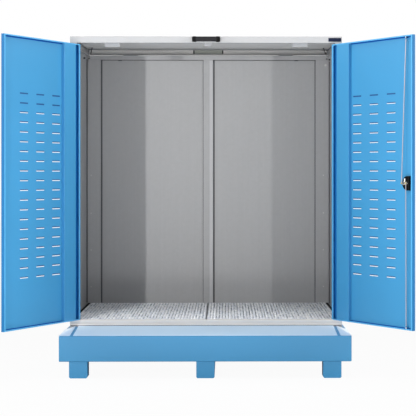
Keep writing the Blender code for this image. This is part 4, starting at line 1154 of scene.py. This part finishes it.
CASE_SCREW = (0.0055, 0.0015)

right = DOOR_FRAMES["right"]
to_door = right.inverted()


def on_door(piece, u, n, z):
    """Move a piece that was made facing the front at the origin to a place on the right door's inside."""
    piece.data.transform(right @ Matrix.Translation((-u, n, z)) @ Matrix.Rotation(math.pi, 4, "Z"))
    return piece


case_black = powder_coat("black_moulded_lock_case", CASE_BLACK, CASE_ROUGHNESS, specular=DULL)
rod_steel = zinc_sheet("plated_lock_rod_steel", ROD_COLOUR, **ROD_LOOK)
cam_steel = zinc_sheet("plated_lock_cam_steel", CAM_COLOUR, **CAM_LOOK)
brass = zinc_sheet("brass_pivot_pins", BRASS, **BRASS_LOOK)
white_tip_and_painted_highlight = powder_coat("moulded_white_rod_tips_and_painted_highlight", TIP_AND_HIGHLIGHT_WHITE, TIP_ROUGHNESS)
case_top = max(point.y for point in points_in("lock_case", to_door))
cam_points = points_in("lock_cam", to_door)
cam_top = max(point.y for point in cam_points)
lock_u = -(min(point.x for point in cam_points) + max(point.x for point in cam_points)) / 2
lock_z = (min(point.z for point in cam_points) + max(point.z for point in cam_points)) / 2
remake("lock_case", case_black, (lambda u, n, z: near(n, case_top), CASE_BEND), axes=to_door)
remake("lock_cam", cam_steel, (anywhere, CAM_BEND), axes=to_door)
remake("lock_handle", case_black, (lambda u, n, z: n < 0, GRIP_BEND), axes=to_door)
remake("lock_escutcheon", case_black, (lambda u, n, z: n < OUTER_PLATE_N, OUTER_PLATE_BEND), axes=to_door)
remake("key_cylinder", cam_steel, (anywhere, KEY_BEND), axes=to_door)
for node in ("upper_rod_guide", "lower_rod_guide"):
    dress_node(node, blue_coat)

for node, side in (("upper_rod", -1), ("lower_rod", 1)):
    dress_node(node, rod_steel)
    rod_points = points_in(node, to_door)
    end_z = max(point.z for point in rod_points) if side < 0 else min(point.z for point in rod_points)
    end_points = [point for point in rod_points if near(point.z, end_z)]
    end_u = -sum(point.x for point in end_points) / len(end_points)
    end_n = sum(point.y for point in end_points) / len(end_points)
    pin = dome(f"{node}_pivot_pin", (0, 0, 0), *PIN)
    on_door(pin, lock_u + side * CAM_REACH, cam_top - CAM_BOSS + PIN_RISE, lock_z)
    finish_piece(pin, BODY_OF[node], brass)
    tip = round_bar(f"{node}_tip", (0, 0, 0), TIP_RADIUS, TIP_LENGTH, TIP_SIDES)
    round_edges(tip, lambda x, y, z: abs(z) > TIP_LENGTH / 2 - TIP_EDGE, TIP_EDGE, 2)
    on_door(tip, end_u, end_n, end_z + side * TIP_LENGTH / 2)
    finish_piece(tip, BODY_OF[node], white_tip_and_painted_highlight)
# The white tongue on the cam: a painted highlight.
tongue_painted_highlight = block("cam_tongue", (0, -TONGUE[1] / 2, 0), TONGUE, TONGUE_EDGE, 3)
on_door(tongue_painted_highlight, lock_u + TONGUE_PLACE[0], case_top + TONGUE_RISE, lock_z + TONGUE_PLACE[1])
finish_piece(tongue_painted_highlight, BODY_OF["lock_cam"], white_tip_and_painted_highlight)
screws = []
for u, z in CASE_SCREWS:
    screws.append(on_door(dome("case_screw", (0, 0, 0), *CASE_SCREW), lock_u + u, case_top, lock_z + z))
finish_piece(join_pieces(screws, "lock_case_screws"), BODY_OF["lock_case"], case_black)
